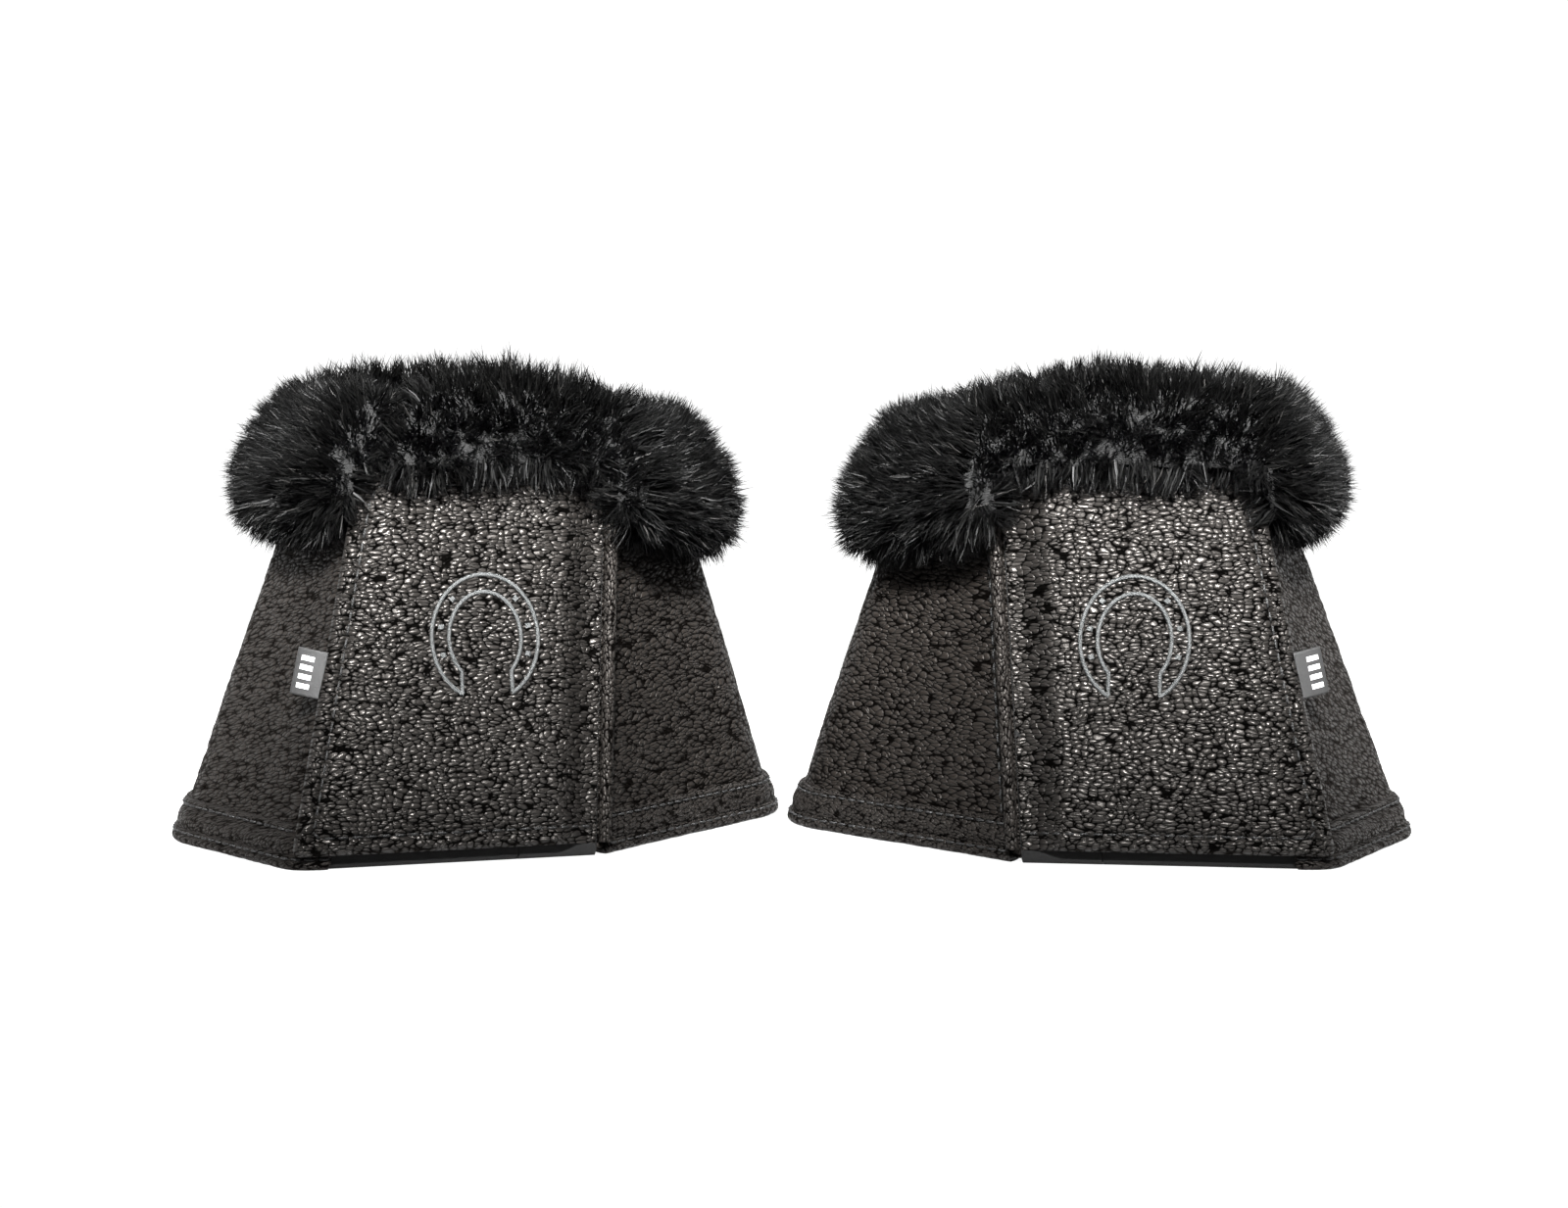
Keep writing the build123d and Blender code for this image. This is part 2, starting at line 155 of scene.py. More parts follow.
def outline(z, grow=0.0, step=0.25):
    """The wall's plan at height z, moved out by grow: points counter-clockwise from the seam."""
    centre = np.array([at(z, "shift"), 0.0])
    radius = at(z, "radius")
    corner, seam = np.array([at(z, "corner"), at(z, "front")]), np.array([at(z, "seam"), at(z, "front")])
    turn = [radians(at(z, "inner")), radians(at(z, "outer"))]
    inner, outer = [centre + radius * np.array([cos(t), sin(t)]) for t in turn]
    inner_way, outer_way = unit(inner - seam), unit(outer - corner)
    inner_out, outer_out = np.array([inner_way[1], -inner_way[0]]), np.array([-outer_way[1], outer_way[0]])
    side = max(at(z, "side_fillet") + grow, 1.5)
    nose = max(at(z, "corner_fillet") + grow, 1.5)
    big = radius + grow

    def inside(point, way, out, fillet):
        """Centre of the round that joins a side to the back."""
        start = point + out * (grow - fillet)
        along = (centre - start) @ way
        foot = start + way * along
        half = np.sqrt((big - fillet) ** 2 - ((centre - foot) ** 2).sum())
        return foot + way * half

    across, forward = np.array([1.0, 0.0]), np.array([0.0, -1.0])
    round_inner = inside(seam, inner_way, inner_out, side)
    round_outer = inside(corner, outer_way, outer_out, side)
    back = grow - nose
    round_nose = cross_lines(corner + forward * back, across, corner + outer_out * back, outer_way)
    start = cross_lines(seam + forward * grow, across, seam + inner_out * grow, inner_way)
    back_from = centre + unit(round_inner - centre) * big
    back_to = centre + unit(round_outer - centre) * big
    pieces = [
        start[None],
        arc(round_inner, round_inner + inner_out * side, back_from, step),
        arc(centre, back_from, back_to, step),
        arc(round_outer, back_to, round_outer + outer_out * side, step),
        arc(round_nose, round_nose + outer_out * nose, round_nose + forward * nose, step),
        start[None],
    ]
    return np.concatenate(pieces)


FOLD_WAY = np.array([cos(radians(FOLD_ANGLE)), sin(radians(FOLD_ANGLE))])
FOLD_ACROSS = np.array([-FOLD_WAY[1], FOLD_WAY[0]])  # towards the wrap
BUTT_WAY = np.array([cos(radians(BUTT_ANGLE)), sin(radians(BUTT_ANGLE))])
BUTT_ACROSS = np.array([-BUTT_WAY[1], BUTT_WAY[0]])  # towards the flap


def past_fold(p):
    """Distance past the fold's plane, towards the wrap, on the boot's outer side."""
    return p[..., 0] * FOLD_ACROSS[0] + p[..., 1] * FOLD_ACROSS[1]


def crossing(length, value, keep):
    """Arc length at which a signed distance first passes zero among the points kept."""
    hit = np.nonzero((value[:-1] <= 0) & (value[1:] > 0) & keep[:-1])[0]
    i = hit[0]
    share = -value[i] / (value[i + 1] - value[i])
    return length[i] + share * (length[i + 1] - length[i])


def stretch(z, grow, start, end, count):
    """Evenly spaced points of the outline between two marks, and their arc length."""
    line = outline(z, grow)
    length = arc_length(line)
    low, high = mark(start, z, grow, line, length), mark(end, z, grow, line, length)
    s = np.linspace(low, high, count)
    return points_at(s, length, line), s


def mark(name, z, grow, line, length):
    """Arc length of a named place on the outline."""
    if isinstance(name, tuple):
        name, offset = name
        return mark(name, z, grow, line, length) + offset
    if name == "seam":
        return 0.0
    if name == "end":
        return length[-1]
    if name == "fold":
        return crossing(length, past_fold(line), line @ FOLD_WAY > 0)
    if name == "blend":
        return crossing(length, past_fold(line) + BLEND + 1.0, line @ FOLD_WAY > 0)
    if name == "butt":
        rel = line - np.array([TOP["shift"], 0.0])
        return crossing(length, rel @ BUTT_ACROSS, rel @ BUTT_WAY > 0)
    if name == "corner":
        left = np.nonzero(line[:, 1] <= line[:, 1].min() + 1e-6)[0]
        return length[left[0]]
    if name == "turned":
        return length[-1] - (at(z, "seam") - at(z, "corner")) + LEATHER_TURN
    if name == "underlap":
        return length[-1] - UNDERLAP
    raise ValueError(name)


# ---- noise ----
def hashed(i, j, seed):
    """A repeatable random number from 0 to 1 for each cell."""
    n = (i.astype(np.int64) * 374761393 + j.astype(np.int64) * 668265263 + seed * 974634777) & 0xFFFFFFFF
    n = ((n ^ (n >> 13)) * 1274126177) & 0xFFFFFFFF
    n = ((n ^ (n >> 16)) * 2246822519) & 0xFFFFFFFF
    return ((n ^ (n >> 15)) & 0xFFFFFF) / float(0xFFFFFF)


def waves(u, v, size, seed):
    """Smooth noise from -1 to 1 with features of a given size."""
    x, y = np.asarray(u, float) / size, np.asarray(v, float) / size
    i, j = np.floor(x), np.floor(y)
    fx, fy = x - i, y - j
    fx, fy = fx * fx * (3 - 2 * fx), fy * fy * (3 - 2 * fy)
    a, b = hashed(i, j, seed), hashed(i + 1, j, seed)
    c, d = hashed(i, j + 1, seed), hashed(i + 1, j + 1, seed)
    return 2 * ((a * (1 - fx) + b * fx) * (1 - fy) + (c * (1 - fx) + d * fx) * fy) - 1


def creases(u, v, seed, turn=0.0):
    """Relief of creased leather in millimetres: wavy grooves with pebbles between them."""
    c, s = cos(turn), sin(turn)
    a, b = u * c + v * s, v * c - u * s
    bend = 1.1 * waves(a, b, 11.0, seed) + 0.5 * waves(a, b, 4.0, seed + 1)
    groove = np.abs(waves(a / 3.0, b + bend, 2.3, seed + 2))
    fold = np.abs(waves(a / 2.2, b + 1.3 * bend, 5.5, seed + 3))
    soft = waves(u, v, 17.0, seed + 5)
    return 0.16 * np.clip(groove * 2.6, 0, 1) + 0.16 * np.clip(fold * 4.0, 0, 1) - 0.25 + 0.16 * soft


# ---- meshes ----
def make(name, boot, points, faces, material, slot, pattern=None, tones=None):
    """A mesh object from local points and faces given as index rows.

    pattern holds each point's place on the flat material, in millimetres, for the material to use."""
    mesh = bpy.data.meshes.new(f"{boot.side}_{name}")
    verts = boot.place(points)
    faces = [f[:, ::-1] if boot.mirrored else f for f in faces]
    counts = np.concatenate([np.full(len(f), f.shape[1]) for f in faces])
    loops = np.concatenate([f.ravel() for f in faces]).astype(np.int32)
    mesh.vertices.add(len(verts))
    mesh.vertices.foreach_set("co", verts.astype(np.float32).ravel())
    mesh.loops.add(len(loops))
    mesh.loops.foreach_set("vertex_index", loops)
    mesh.polygons.add(len(counts))
    mesh.polygons.foreach_set("loop_start", np.concatenate([[0], np.cumsum(counts)[:-1]]).astype(np.int32))
    mesh.polygons.foreach_set("use_smooth", counts <= 4)
    for m in material if isinstance(material, (list, tuple)) else [material]:
        mesh.materials.append(m)
    if tones is not None:
        mesh.polygons.foreach_set("material_index", np.asarray(tones, np.int32))
    if pattern is not None:
        place = mesh.attributes.new("flat_place", "FLOAT_VECTOR", "POINT")
        shifted = np.asarray(pattern, float).reshape(-1, 3) + (400.0 if boot.mirrored else 0.0)
        place.data.foreach_set("vector", shifted.astype(np.float32).ravel())
    mesh.update(calc_edges=True)
    mesh.validate()
    obj = bpy.data.objects.new(f"{boot.side}_{name}", mesh)
    bpy.context.scene.collection.objects.link(obj)
    return obj


def lattice(columns, rows):
    """Quads between neighbouring closed columns of points, and a face over each end."""
    index = np.arange(columns * rows).reshape(columns, rows)
    right = np.roll(index, -1, axis=1)
    quads = np.stack([index[:-1], index[1:], right[1:], right[:-1]], axis=-1).reshape(-1, 4)
    return [quads, np.stack([index[0], index[-1][::-1]])]


def make_grid(name, boot, grid, u, v, skin, slot):
    """A closed grid of points as a piece; u and v say where they lie on the flat material."""
    pattern = np.stack([u, v, np.zeros_like(u)], axis=-1)
    return make(name, boot, grid.reshape(-1, 3), lattice(*grid.shape[:2]), skin, slot, pattern)


def normals_of(grid):
    """Outward normals of a grid, columns running counter-clockwise and rows up."""
    n = np.cross(np.gradient(grid, axis=0), np.gradient(grid, axis=1))
    return n / np.maximum(np.linalg.norm(n, axis=2, keepdims=True), 1e-9)


def wall_grid(profile, start, end, columns):
    """Points over a profile given as (out, height): columns round the boot, and their arc lengths."""
    rows, arcs = [], []
    for out, z in profile:
        line, s = stretch(z, out, start, end, columns)
        rows.append(np.column_stack([line, np.full(columns, z)]))
        arcs.append(s)
    return np.stack(rows, axis=1), np.stack(arcs, axis=1)


def tube(path, radius, sides, up):
    """A round cord along a path of points, with closed ends."""
    path = np.asarray(path, float)
    way = np.gradient(path, axis=0)
    way /= np.linalg.norm(way, axis=1, keepdims=True)
    side = np.cross(way, np.asarray(up, float))
    side /= np.maximum(np.linalg.norm(side, axis=1, keepdims=True), 1e-9)
    top = np.cross(side, way)
    a = np.linspace(0, 2 * pi, sides, endpoint=False)
    r = np.broadcast_to(np.asarray(radius, float), (len(path),))[:, None, None]
    ring = side[:, None] * np.cos(a)[None, :, None] + top[:, None] * np.sin(a)[None, :, None]
    return (path[:, None] + ring * r).reshape(-1, 3), lattice(len(path), sides)


def joined(parts):
    """Several (points, faces) as one."""
    points, by_size, offset = [], {}, 0
    for p, faces in parts:
        points.append(p)
        for f in faces:
            by_size.setdefault(f.shape[1], []).append(f + offset)
        offset += len(p)
    return np.concatenate(points), [np.concatenate(f) for f in by_size.values()]


def stitches(path, normal, length=2.7, gap=0.9, radius=0.36):
    """Separate stitches along a path: short cords that dip into the leather at both ends."""
    step = np.concatenate([[0], np.cumsum(np.linalg.norm(np.diff(path, axis=0), axis=1))])
    count = int(step[-1] // (length + gap))
    t = np.linspace(0, 1, 7)
    arch = np.sin(pi * t) ** 0.6
    parts = []
    for k in range(count):
        s = (k + 0.5) * step[-1] / count + (t - 0.5) * length
        p = points_at(s, step, path)
        n = unit(np.array([np.interp(s[3], step, normal[:, c]) for c in range(3)]))
        p = p + n * (0.36 * arch - 0.2)[:, None]
        parts.append(tube(p, radius * (0.5 + 0.5 * arch), 6, up=n))
    return joined(parts)


# ---- materials ----
def material(name):
    """A new material: its shader, a way to add nodes and a way to link them."""
    mat = bpy.data.materials.new(name)
    mat.use_nodes = True
    tree = mat.node_tree

    def node(kind, **values):
        made = tree.nodes.new(kind)
        for key, value in values.items():
            if key in made.inputs:
                made.inputs[key].default_value = value
            else:
                setattr(made, key, value)
        return made

    return mat, tree.nodes["Principled BSDF"], node, tree.links.new


def ramp(node, low, high, low_at=0.0, high_at=1.0):
    made = node("ShaderNodeValToRGB")
    first, last = made.color_ramp.elements
    first.position, last.position = low_at, high_at
    first.color, last.color = (*low, 1), (*high, 1)
    return made


def grey(value):
    return (value, value, value)


def flat_place(node):
    """Where a point lies on the flat material, in millimetres."""
    return node("ShaderNodeAttribute", attribute_name="flat_place").outputs["Vector"]


def leather_material(name, dark, light, gloss, shine, turn, pebble, wide, depth):
    """Pebbled synthetic leather: domed pebbles with grooves between them.

    pebble and depth are in millimetres and wide is a pebble's width over its height. The gaps are
    made metallic and black, so that they mirror next to nothing; this stands for their shade."""
    mat, shader, node, link = material(name)
    place = node("ShaderNodeMapping", Rotation=(0, 0, turn), Scale=(1 / wide, 1.0, 1.0))
    bend = node("ShaderNodeTexNoise", Scale=0.16, Detail=2.0, Roughness=0.55)
    centred = node("ShaderNodeVectorMath", operation="SUBTRACT")
    centred.inputs[1].default_value = (0.5, 0.5, 0.5)
    shift = node("ShaderNodeVectorMath", operation="SCALE", Scale=3.4)
    moved = node("ShaderNodeVectorMath", operation="ADD")
    link(flat_place(node), place.inputs["Vector"])
    link(place.outputs["Vector"], bend.inputs["Vector"])
    link(bend.outputs["Color"], centred.inputs[0])
    link(centred.outputs["Vector"], shift.inputs[0])
    link(place.outputs["Vector"], moved.inputs[0])
    link(shift.outputs["Vector"], moved.inputs[1])

    domes = node("ShaderNodeTexVoronoi", feature="SMOOTH_F1", Scale=1 / pebble, Randomness=0.8, Smoothness=0.12)
    edges = node("ShaderNodeTexVoronoi", feature="DISTANCE_TO_EDGE", Scale=1 / pebble, Randomness=0.8)
    rows = node("ShaderNodeMapping", Scale=(0.3, 1.0, 1.0))
    groove = node("ShaderNodeTexVoronoi", feature="DISTANCE_TO_EDGE", Scale=0.34, Randomness=1.0)
    pores = node("ShaderNodeTexNoise", Scale=3.4, Detail=2.0, Roughness=0.6)
    patches = node("ShaderNodeTexNoise", Scale=0.05, Detail=3.0, Roughness=0.5)
    for source, users in ((moved, (domes, edges, rows)), (rows, (groove,)), (place, (pores, patches))):
        for user in users:
            link(source.outputs["Vector"], user.inputs["Vector"])

    square = node("ShaderNodeMath", operation="POWER")
    square.inputs[1].default_value = 2.0
    dome = node("ShaderNodeMath", operation="MULTIPLY_ADD")
    dome.inputs[1].default_value, dome.inputs[2].default_value = -1.5, 1.0
    gap = ramp(node, grey(0.0), grey(1.0), 0.0, 0.14)
    open_groove = ramp(node, grey(0.0), grey(1.0), 0.0, 0.06)
    link(domes.outputs["Distance"], square.inputs[0])
    link(square.outputs["Value"], dome.inputs[0])
    link(edges.outputs["Distance"], gap.inputs["Fac"])
    link(groove.outputs["Distance"], open_groove.inputs["Fac"])

    def add_share(share, new, so_far):
        made = node("ShaderNodeMath", operation="MULTIPLY_ADD")
        made.inputs[1].default_value = share
        link(new, made.inputs[0])
        link(so_far, made.inputs[2])
        return made.outputs["Value"]

    height = add_share(0.45, gap.outputs["Color"], dome.outputs["Value"])
    height = add_share(0.22, open_groove.outputs["Color"], height)
    height = add_share(0.10, pores.outputs["Fac"], height)
    raised = node("ShaderNodeBump", Strength=1.0, Distance=depth * MM)
    link(height, raised.inputs["Height"])
    link(raised.outputs["Normal"], shader.inputs["Normal"])

    tone = node("ShaderNodeMapRange")
    tone.inputs["From Min"].default_value, tone.inputs["From Max"].default_value = 0.80, 1.68
    link(height, tone.inputs["Value"])
    # Base colour is darker the lower the point, down to black in the gaps: painted shade.
    colour = ramp(node, dark, light, 0.1, 1.0)
    link(add_share(0.3, patches.outputs["Fac"], tone.outputs["Result"]), colour.inputs["Fac"])
    link(colour.outputs["Color"], shader.inputs["Base Color"])
    rough = node("ShaderNodeMapRange")
    rough.inputs["To Min"].default_value, rough.inputs["To Max"].default_value = gloss + 0.5, gloss
    link(tone.outputs["Result"], rough.inputs["Value"])
    link(rough.outputs["Result"], shader.inputs["Roughness"])
    # Metallic in the gaps, so that with their black colour they mirror next to nothing: painted shade.
    sunk = ramp(node, grey(1.0), grey(0.0), 0.0, 0.2)
    link(tone.outputs["Result"], sunk.inputs["Fac"])
    link(sunk.outputs["Color"], shader.inputs["Metallic"])
    shader.inputs["Specular IOR Level"].default_value = shine
    shader.inputs["Specular Tint"].default_value = (1.0, 0.94, 0.89, 1)
    return mat


def cloth_material(name, dark, light, thread, rough=0.85, depth=0.15, sheen=0.15):
    """Woven or brushed cloth with threads of a given width, in millimetres."""
    mat, shader, node, link = material(name)
    place = flat_place(node)
    warp = node("ShaderNodeTexWave", bands_direction="X", Scale=0.314 / thread, Distortion=1.2, Detail=2.0)
    weft = node("ShaderNodeTexWave", bands_direction="Y", Scale=0.314 / thread, Distortion=1.2, Detail=2.0)
    lint = node("ShaderNodeTexNoise", Scale=1.4, Detail=4.0, Roughness=0.7)
    both = node("ShaderNodeMath", operation="MAXIMUM")
    height = node("ShaderNodeMath", operation="MULTIPLY_ADD")
    height.inputs[1].default_value = 0.5
    raised = node("ShaderNodeBump", Strength=0.8, Distance=depth * MM)
    colour = ramp(node, dark, light, 0.3, 1.0)
    for each in (warp, weft, lint):
        link(place, each.inputs["Vector"])
    link(warp.outputs["Fac"], both.inputs[0])
    link(weft.outputs["Fac"], both.inputs[1])
    link(both.outputs["Value"], height.inputs[0])
    link(lint.outputs["Fac"], height.inputs[2])
    link(height.outputs["Value"], raised.inputs["Height"])
    link(raised.outputs["Normal"], shader.inputs["Normal"])
    link(height.outputs["Value"], colour.inputs["Fac"])
    link(colour.outputs["Color"], shader.inputs["Base Color"])
    shader.inputs["Roughness"].default_value = rough
    shader.inputs["Sheen Weight"].default_value = sheen
    shader.inputs["Specular IOR Level"].default_value = 0.2
    return mat


def thread_material(name, dark, light, rough):
    """Thread with a fine slanted twist."""
    mat, shader, node, link = material(name)
    place = node("ShaderNodeTexCoord")
    twist = node("ShaderNodeTexWave", bands_direction="DIAGONAL", Scale=900.0, Distortion=1.5, Detail=1.0)
    raised = node("ShaderNodeBump", Strength=0.6, Distance=0.15 * MM)
    colour = ramp(node, dark, light, 0.1, 0.9)
    link(place.outputs["Object"], twist.inputs["Vector"])
    link(twist.outputs["Fac"], raised.inputs["Height"])
    link(twist.outputs["Fac"], colour.inputs["Fac"])
    link(raised.outputs["Normal"], shader.inputs["Normal"])
    link(colour.outputs["Color"], shader.inputs["Base Color"])
    shader.inputs["Roughness"].default_value = rough
    shader.inputs["Specular IOR Level"].default_value = 0.2
    return mat


def strand_material(name, colour, rough):
    """One tone of pile; its detail is in the strands themselves."""
    mat, shader = material(name)[:2]
    shader.inputs["Base Color"].default_value = (*colour, 1)
    shader.inputs["Roughness"].default_value = rough
    shader.inputs["Specular IOR Level"].default_value = 0.05
    return mat


flap_skin = leather_material("flap_skin", (0.0010, 0.0009, 0.0008), (0.0060, 0.0053, 0.0048), gloss=0.31,
                             shine=0.26, turn=0.0, pebble=1.1, wide=1.9, depth=0.65)
side_skin = leather_material("side_skin", (0.0010, 0.0008, 0.0007), (0.0060, 0.0050, 0.0043), gloss=0.36,
                             shine=0.13, turn=0.75, pebble=1.2, wide=2.3, depth=0.7)
trim_skin = leather_material("trim_skin", (0.0012, 0.0010, 0.0009), (0.0070, 0.0060, 0.0053), gloss=0.36,
                             shine=0.16, turn=1.2, pebble=0.95, wide=1.6, depth=0.36)
lining_cloth = cloth_material("lining_cloth", grey(0.006), grey(0.022), 0.5)
loop_cloth = cloth_material("loop_cloth", grey(0.0015), grey(0.005), 0.3, 0.95, 0.25, 0.03)
hook_cloth = cloth_material("hook_cloth", grey(0.003), grey(0.014), 0.9, 0.6, 0.4, 0.0)
foam_cells = cloth_material("foam_cells", grey(0.010), grey(0.030), 0.35, 0.9, 0.2, 0.0)
pile_ground = cloth_material("pile_ground", grey(0.0015), grey(0.006), 0.8, 0.95, 0.5, 0.0)
ribbon = cloth_material("ribbon", grey(0.004), grey(0.018), 0.22, 0.5, 0.1, 0.0)
black_thread = thread_material("black_thread", grey(0.004), grey(0.016), 0.45)
silver_thread = thread_material("silver_thread", (0.018, 0.019, 0.019), (0.062, 0.064, 0.064), 0.5)
white_thread = thread_material("white_thread", grey(0.5), grey(0.8), 0.6)
pile_tones = [
    strand_material("pile_black", (0.0009, 0.0009, 0.0009), 0.45),
    strand_material("pile_soft", (0.0026, 0.0026, 0.0025), 0.47),
    strand_material("pile_lit", (0.013, 0.0125, 0.012), 0.5),
]


FINE = 0.6  # spacing of points on the leather's face

# ---- where pieces go ----
def ride_on(obj, boot, kind):
    """The piece follows its body; pieces of the wrap's cover and of the flap's skin are only baked in place and
    follow no body.
    """
    if kind == "wrap_cover":
        fold = FOLD_WAY * 60.0
        ends = boot.place([[*(fold - FOLD_ACROSS * BLEND), 50.0], [*(fold + FOLD_ACROSS * BLEND), 50.0]])
        boot.body("shell")
        boot.body("wrap")
        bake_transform(obj)
    elif kind == "flap_cover":
        x, y = at(50, "seam"), at(50, "front")
        ends = boot.place([[x + 0.5, y, 50.0], [x - 9.0, y, 50.0]])
        boot.body("shell")
        boot.body("flap")
        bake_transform(obj)
    else:
        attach(obj, boot.body(kind))
    return obj


def standing_for(obj, boot, *names):
    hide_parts(*[f"{boot.side}_{n}" for n in names])
    return obj


# ---- the wall ----
def columns_over(z, span, step):
    """How many columns of points a span needs at height z."""
    s = stretch(z, 0.0, *span, 3)[1]
    return int((s[-1] - s[0]) / step) + 2


def layer(name, boot, kind, span, outside, inside, skin, slot, relief=0.0, step=None, turn=0.0):
    """A solid layer of the wall between two profiles, with creases on its outer face."""
    step = step or FINE
    columns = columns_over(50.0, span, step)
    outer, arcs = wall_grid(outside, *span, columns)
    inner, inner_arcs = wall_grid(inside, *span, columns)
    up = arc_length(outside) + outside[0][1]
    if relief:
        fade = np.clip((up - up[0]) / 3.0, 0, 1) * np.clip((up[-1] - up) / 3.0, 0, 1)
        bumps = creases(arcs, np.broadcast_to(up, arcs.shape), 40 + 9 * boot.mirrored, turn)
        outer = outer + normals_of(outer) * (bumps * relief * fade)[:, :, None]
    inner_up = arc_length(inside) + inside[0][1] + 150.0
    grid = np.concatenate([outer, inner[:, ::-1]], axis=1)
    u = np.concatenate([arcs, inner_arcs[:, ::-1]], axis=1)
    v = np.broadcast_to(np.concatenate([up, inner_up[::-1]]), u.shape)
    return ride_on(make_grid(name, boot, grid, u, v, skin, slot), boot, kind)


def upright(out, low, high, step):
    """A profile straight up the wall."""
    n = max(2, int((high - low) / step) + 1)
    return [(out, z) for z in np.linspace(low, high, n)]


def sewn(name, boot, kind, shape, skin, slot, replaced):
    """Thread as a piece that stands for one node."""
    standing_for(ride_on(make(name, boot, *shape, skin, slot), boot, kind), boot, replaced)


def walls(boot):
    """Leather, foam and lining of the rear shell and of the wrap."""
    for part, kind, span, soft in (
        ("rear", "shell", ("seam", "blend"), ("seam", "blend")),
        ("wrap", "wrap_cover", ("blend", "turned"), ("blend", "underlap")),
    ):
        skin = layer(f"{part}_skin", boot, kind, span, upright(0.0, 1.5, WALL_TOP, FINE),
                     upright(-LEATHER, 1.5, WALL_TOP, 16.0), side_skin, "leather", 1.0, turn=0.5)
        standing_for(skin, boot, f"{part}_leather")
        foam = layer(f"{part}_padding", boot, kind, soft, upright(-LEATHER, 1.5, WALL_TOP - 0.5, 12.0),
                     upright(-LEATHER - FOAM, 1.5, WALL_TOP - 0.5, 12.0), foam_cells, "foam", step=3.0)
        standing_for(foam, boot, f"{part}_foam")
        lining = layer(f"{part}_inside_cloth", boot, kind, soft, upright(-LEATHER - FOAM, 1.5, WALL_TOP, 3.0),
                       upright(-WALL, 1.5, WALL_TOP, 3.0), lining_cloth, "lining", step=3.0)
        standing_for(lining, boot, f"{part}_lining")


def round_section(points, radius_steps=3):
    """A closed outline with its corners cut round."""
    p = np.array(points, float)
    for _ in range(radius_steps):
        q = np.roll(p, -1, axis=0)
        p = np.stack([0.75 * p + 0.25 * q, 0.25 * p + 0.75 * q], axis=1).reshape(-1, 2)
    return p


def bar(name, boot, kind, span, section, skin, slot, step=1.0, relief=0.0):
    """A strip round the wall with a closed section given as (out, height), counter-clockwise seen
    from its end."""
    columns = columns_over(5.0, span, step)
    grid, arcs = wall_grid(section, *span, columns)
    up = np.broadcast_to(arc_length(section), arcs.shape)
    if relief:
        grid = grid + normals_of(grid) * (creases(arcs, up, 77, 1.2) * relief)[:, :, None]
    return ride_on(make_grid(name, boot, grid, arcs, up, skin, slot), boot, kind)


def hem(boot):
    """The stitched band, the rolled binding that holds all the layers, and their thread."""
    band = round_section([(-0.4, 3.6), (1.2, 3.8), (1.7, 5.4), (1.9, 7.2), (1.5, 9.0), (0.9, 9.9), (1.5, 10.4),
                          (1.3, 11.2), (0.2, 11.5), (-0.4, 11.2)], 2)
    binding = round_section([(-7.3, 0.0), (0.3, 0.0), (1.7, 0.9), (2.0, 2.2), (1.5, 3.0), (1.6, 3.7), (0.9, 4.2),
                             (-0.3, 3.9), (-0.4, 1.3), (-6.0, 1.3), (-6.2, 4.0), (-7.2, 4.0)], 2)
    for part, kind, span, start in (
        ("rear", "shell", (("seam", 3.6), "blend"), ("seam", 3.8)),
        ("wrap", "wrap_cover", ("blend", ("turned", -4.0)), "blend"),
    ):
        strip = bar(f"{part}_band", boot, kind, span, band, trim_skin, "leather", 0.8, 0.8)
        standing_for(strip, boot, f"{part}_hem_band")
        edge = bar(f"{part}_binding", boot, kind, span, binding, trim_skin, "leather", 0.8, 0.5)
        standing_for(edge, boot, f"{part}_hem_binding")
        rows = []
        for out, z in ((1.35, 9.95), (1.75, 3.1)):
            line = stretch(z, out, start, span[1], 300)[0]
            path = np.column_stack([line, np.full(len(line), z)])
            way = np.gradient(line, axis=0)
            rows.append(stitches(path, unit_rows(np.column_stack([way[:, 1], -way[:, 0], np.zeros(len(way))]))))
        sewn(f"{part}_band_thread", boot, kind, joined(rows), black_thread, "thread", f"{part}_hem_stitching")


def unit_rows(v):
    return v / np.maximum(np.linalg.norm(v, axis=1, keepdims=True), 1e-9)


def front_cloth(boot):
    """The loop cloth down the front, under the edge and up inside, and its end on the shell."""
    section = np.array([(0.25, z) for z in np.linspace(PANEL_TOP, 1.4, 24)] + [(-0.4, 0.3), (-3.0, 0.0),
                       (-6.6, 0.1), (-7.2, 1.2), (-7.2, 4.0), (-6.4, 4.0), (-6.4, 1.4), (-0.6, 1.4)]
                       + [(-0.6, z) for z in np.linspace(1.6, PANEL_TOP, 24)])[::-1]
    panel = bar("loop_cloth", boot, "wrap", (("turned", -4.2), ("underlap", -0.2)), section, loop_cloth,
                "loop_cloth", 0.9)
    standing_for(panel, boot, "loop_panel")
    end = bar("underlap_cloth", boot, "shell", (("underlap", 0.2), ("end", -0.3)), section, loop_cloth,
              "loop_cloth", 0.9)
    standing_for(end, boot, "rear_underlap_cloth")
    for name, skin, slot, near, away in (("underlap_foam", foam_cells, "foam", -0.6, -LEATHER - FOAM),
                                         ("underlap_lining", lining_cloth, "lining", -LEATHER - FOAM, -WALL)):
        layer(name, boot, "shell", (("underlap", 0.2), ("end", -0.3)), upright(near, 1.5, PANEL_TOP, 12.0),
              upright(away, 1.5, PANEL_TOP, 12.0), skin, slot, step=3.0)
    layer("underlap_tongue", boot, "shell", (("underlap", -3.5), ("underlap", 2.0)),
          upright(-WALL - 1.2, 0.2, PANEL_TOP, 12.0), upright(-WALL - 1.9, 0.2, PANEL_TOP, 12.0), lining_cloth,
          "lining", step=1.5)


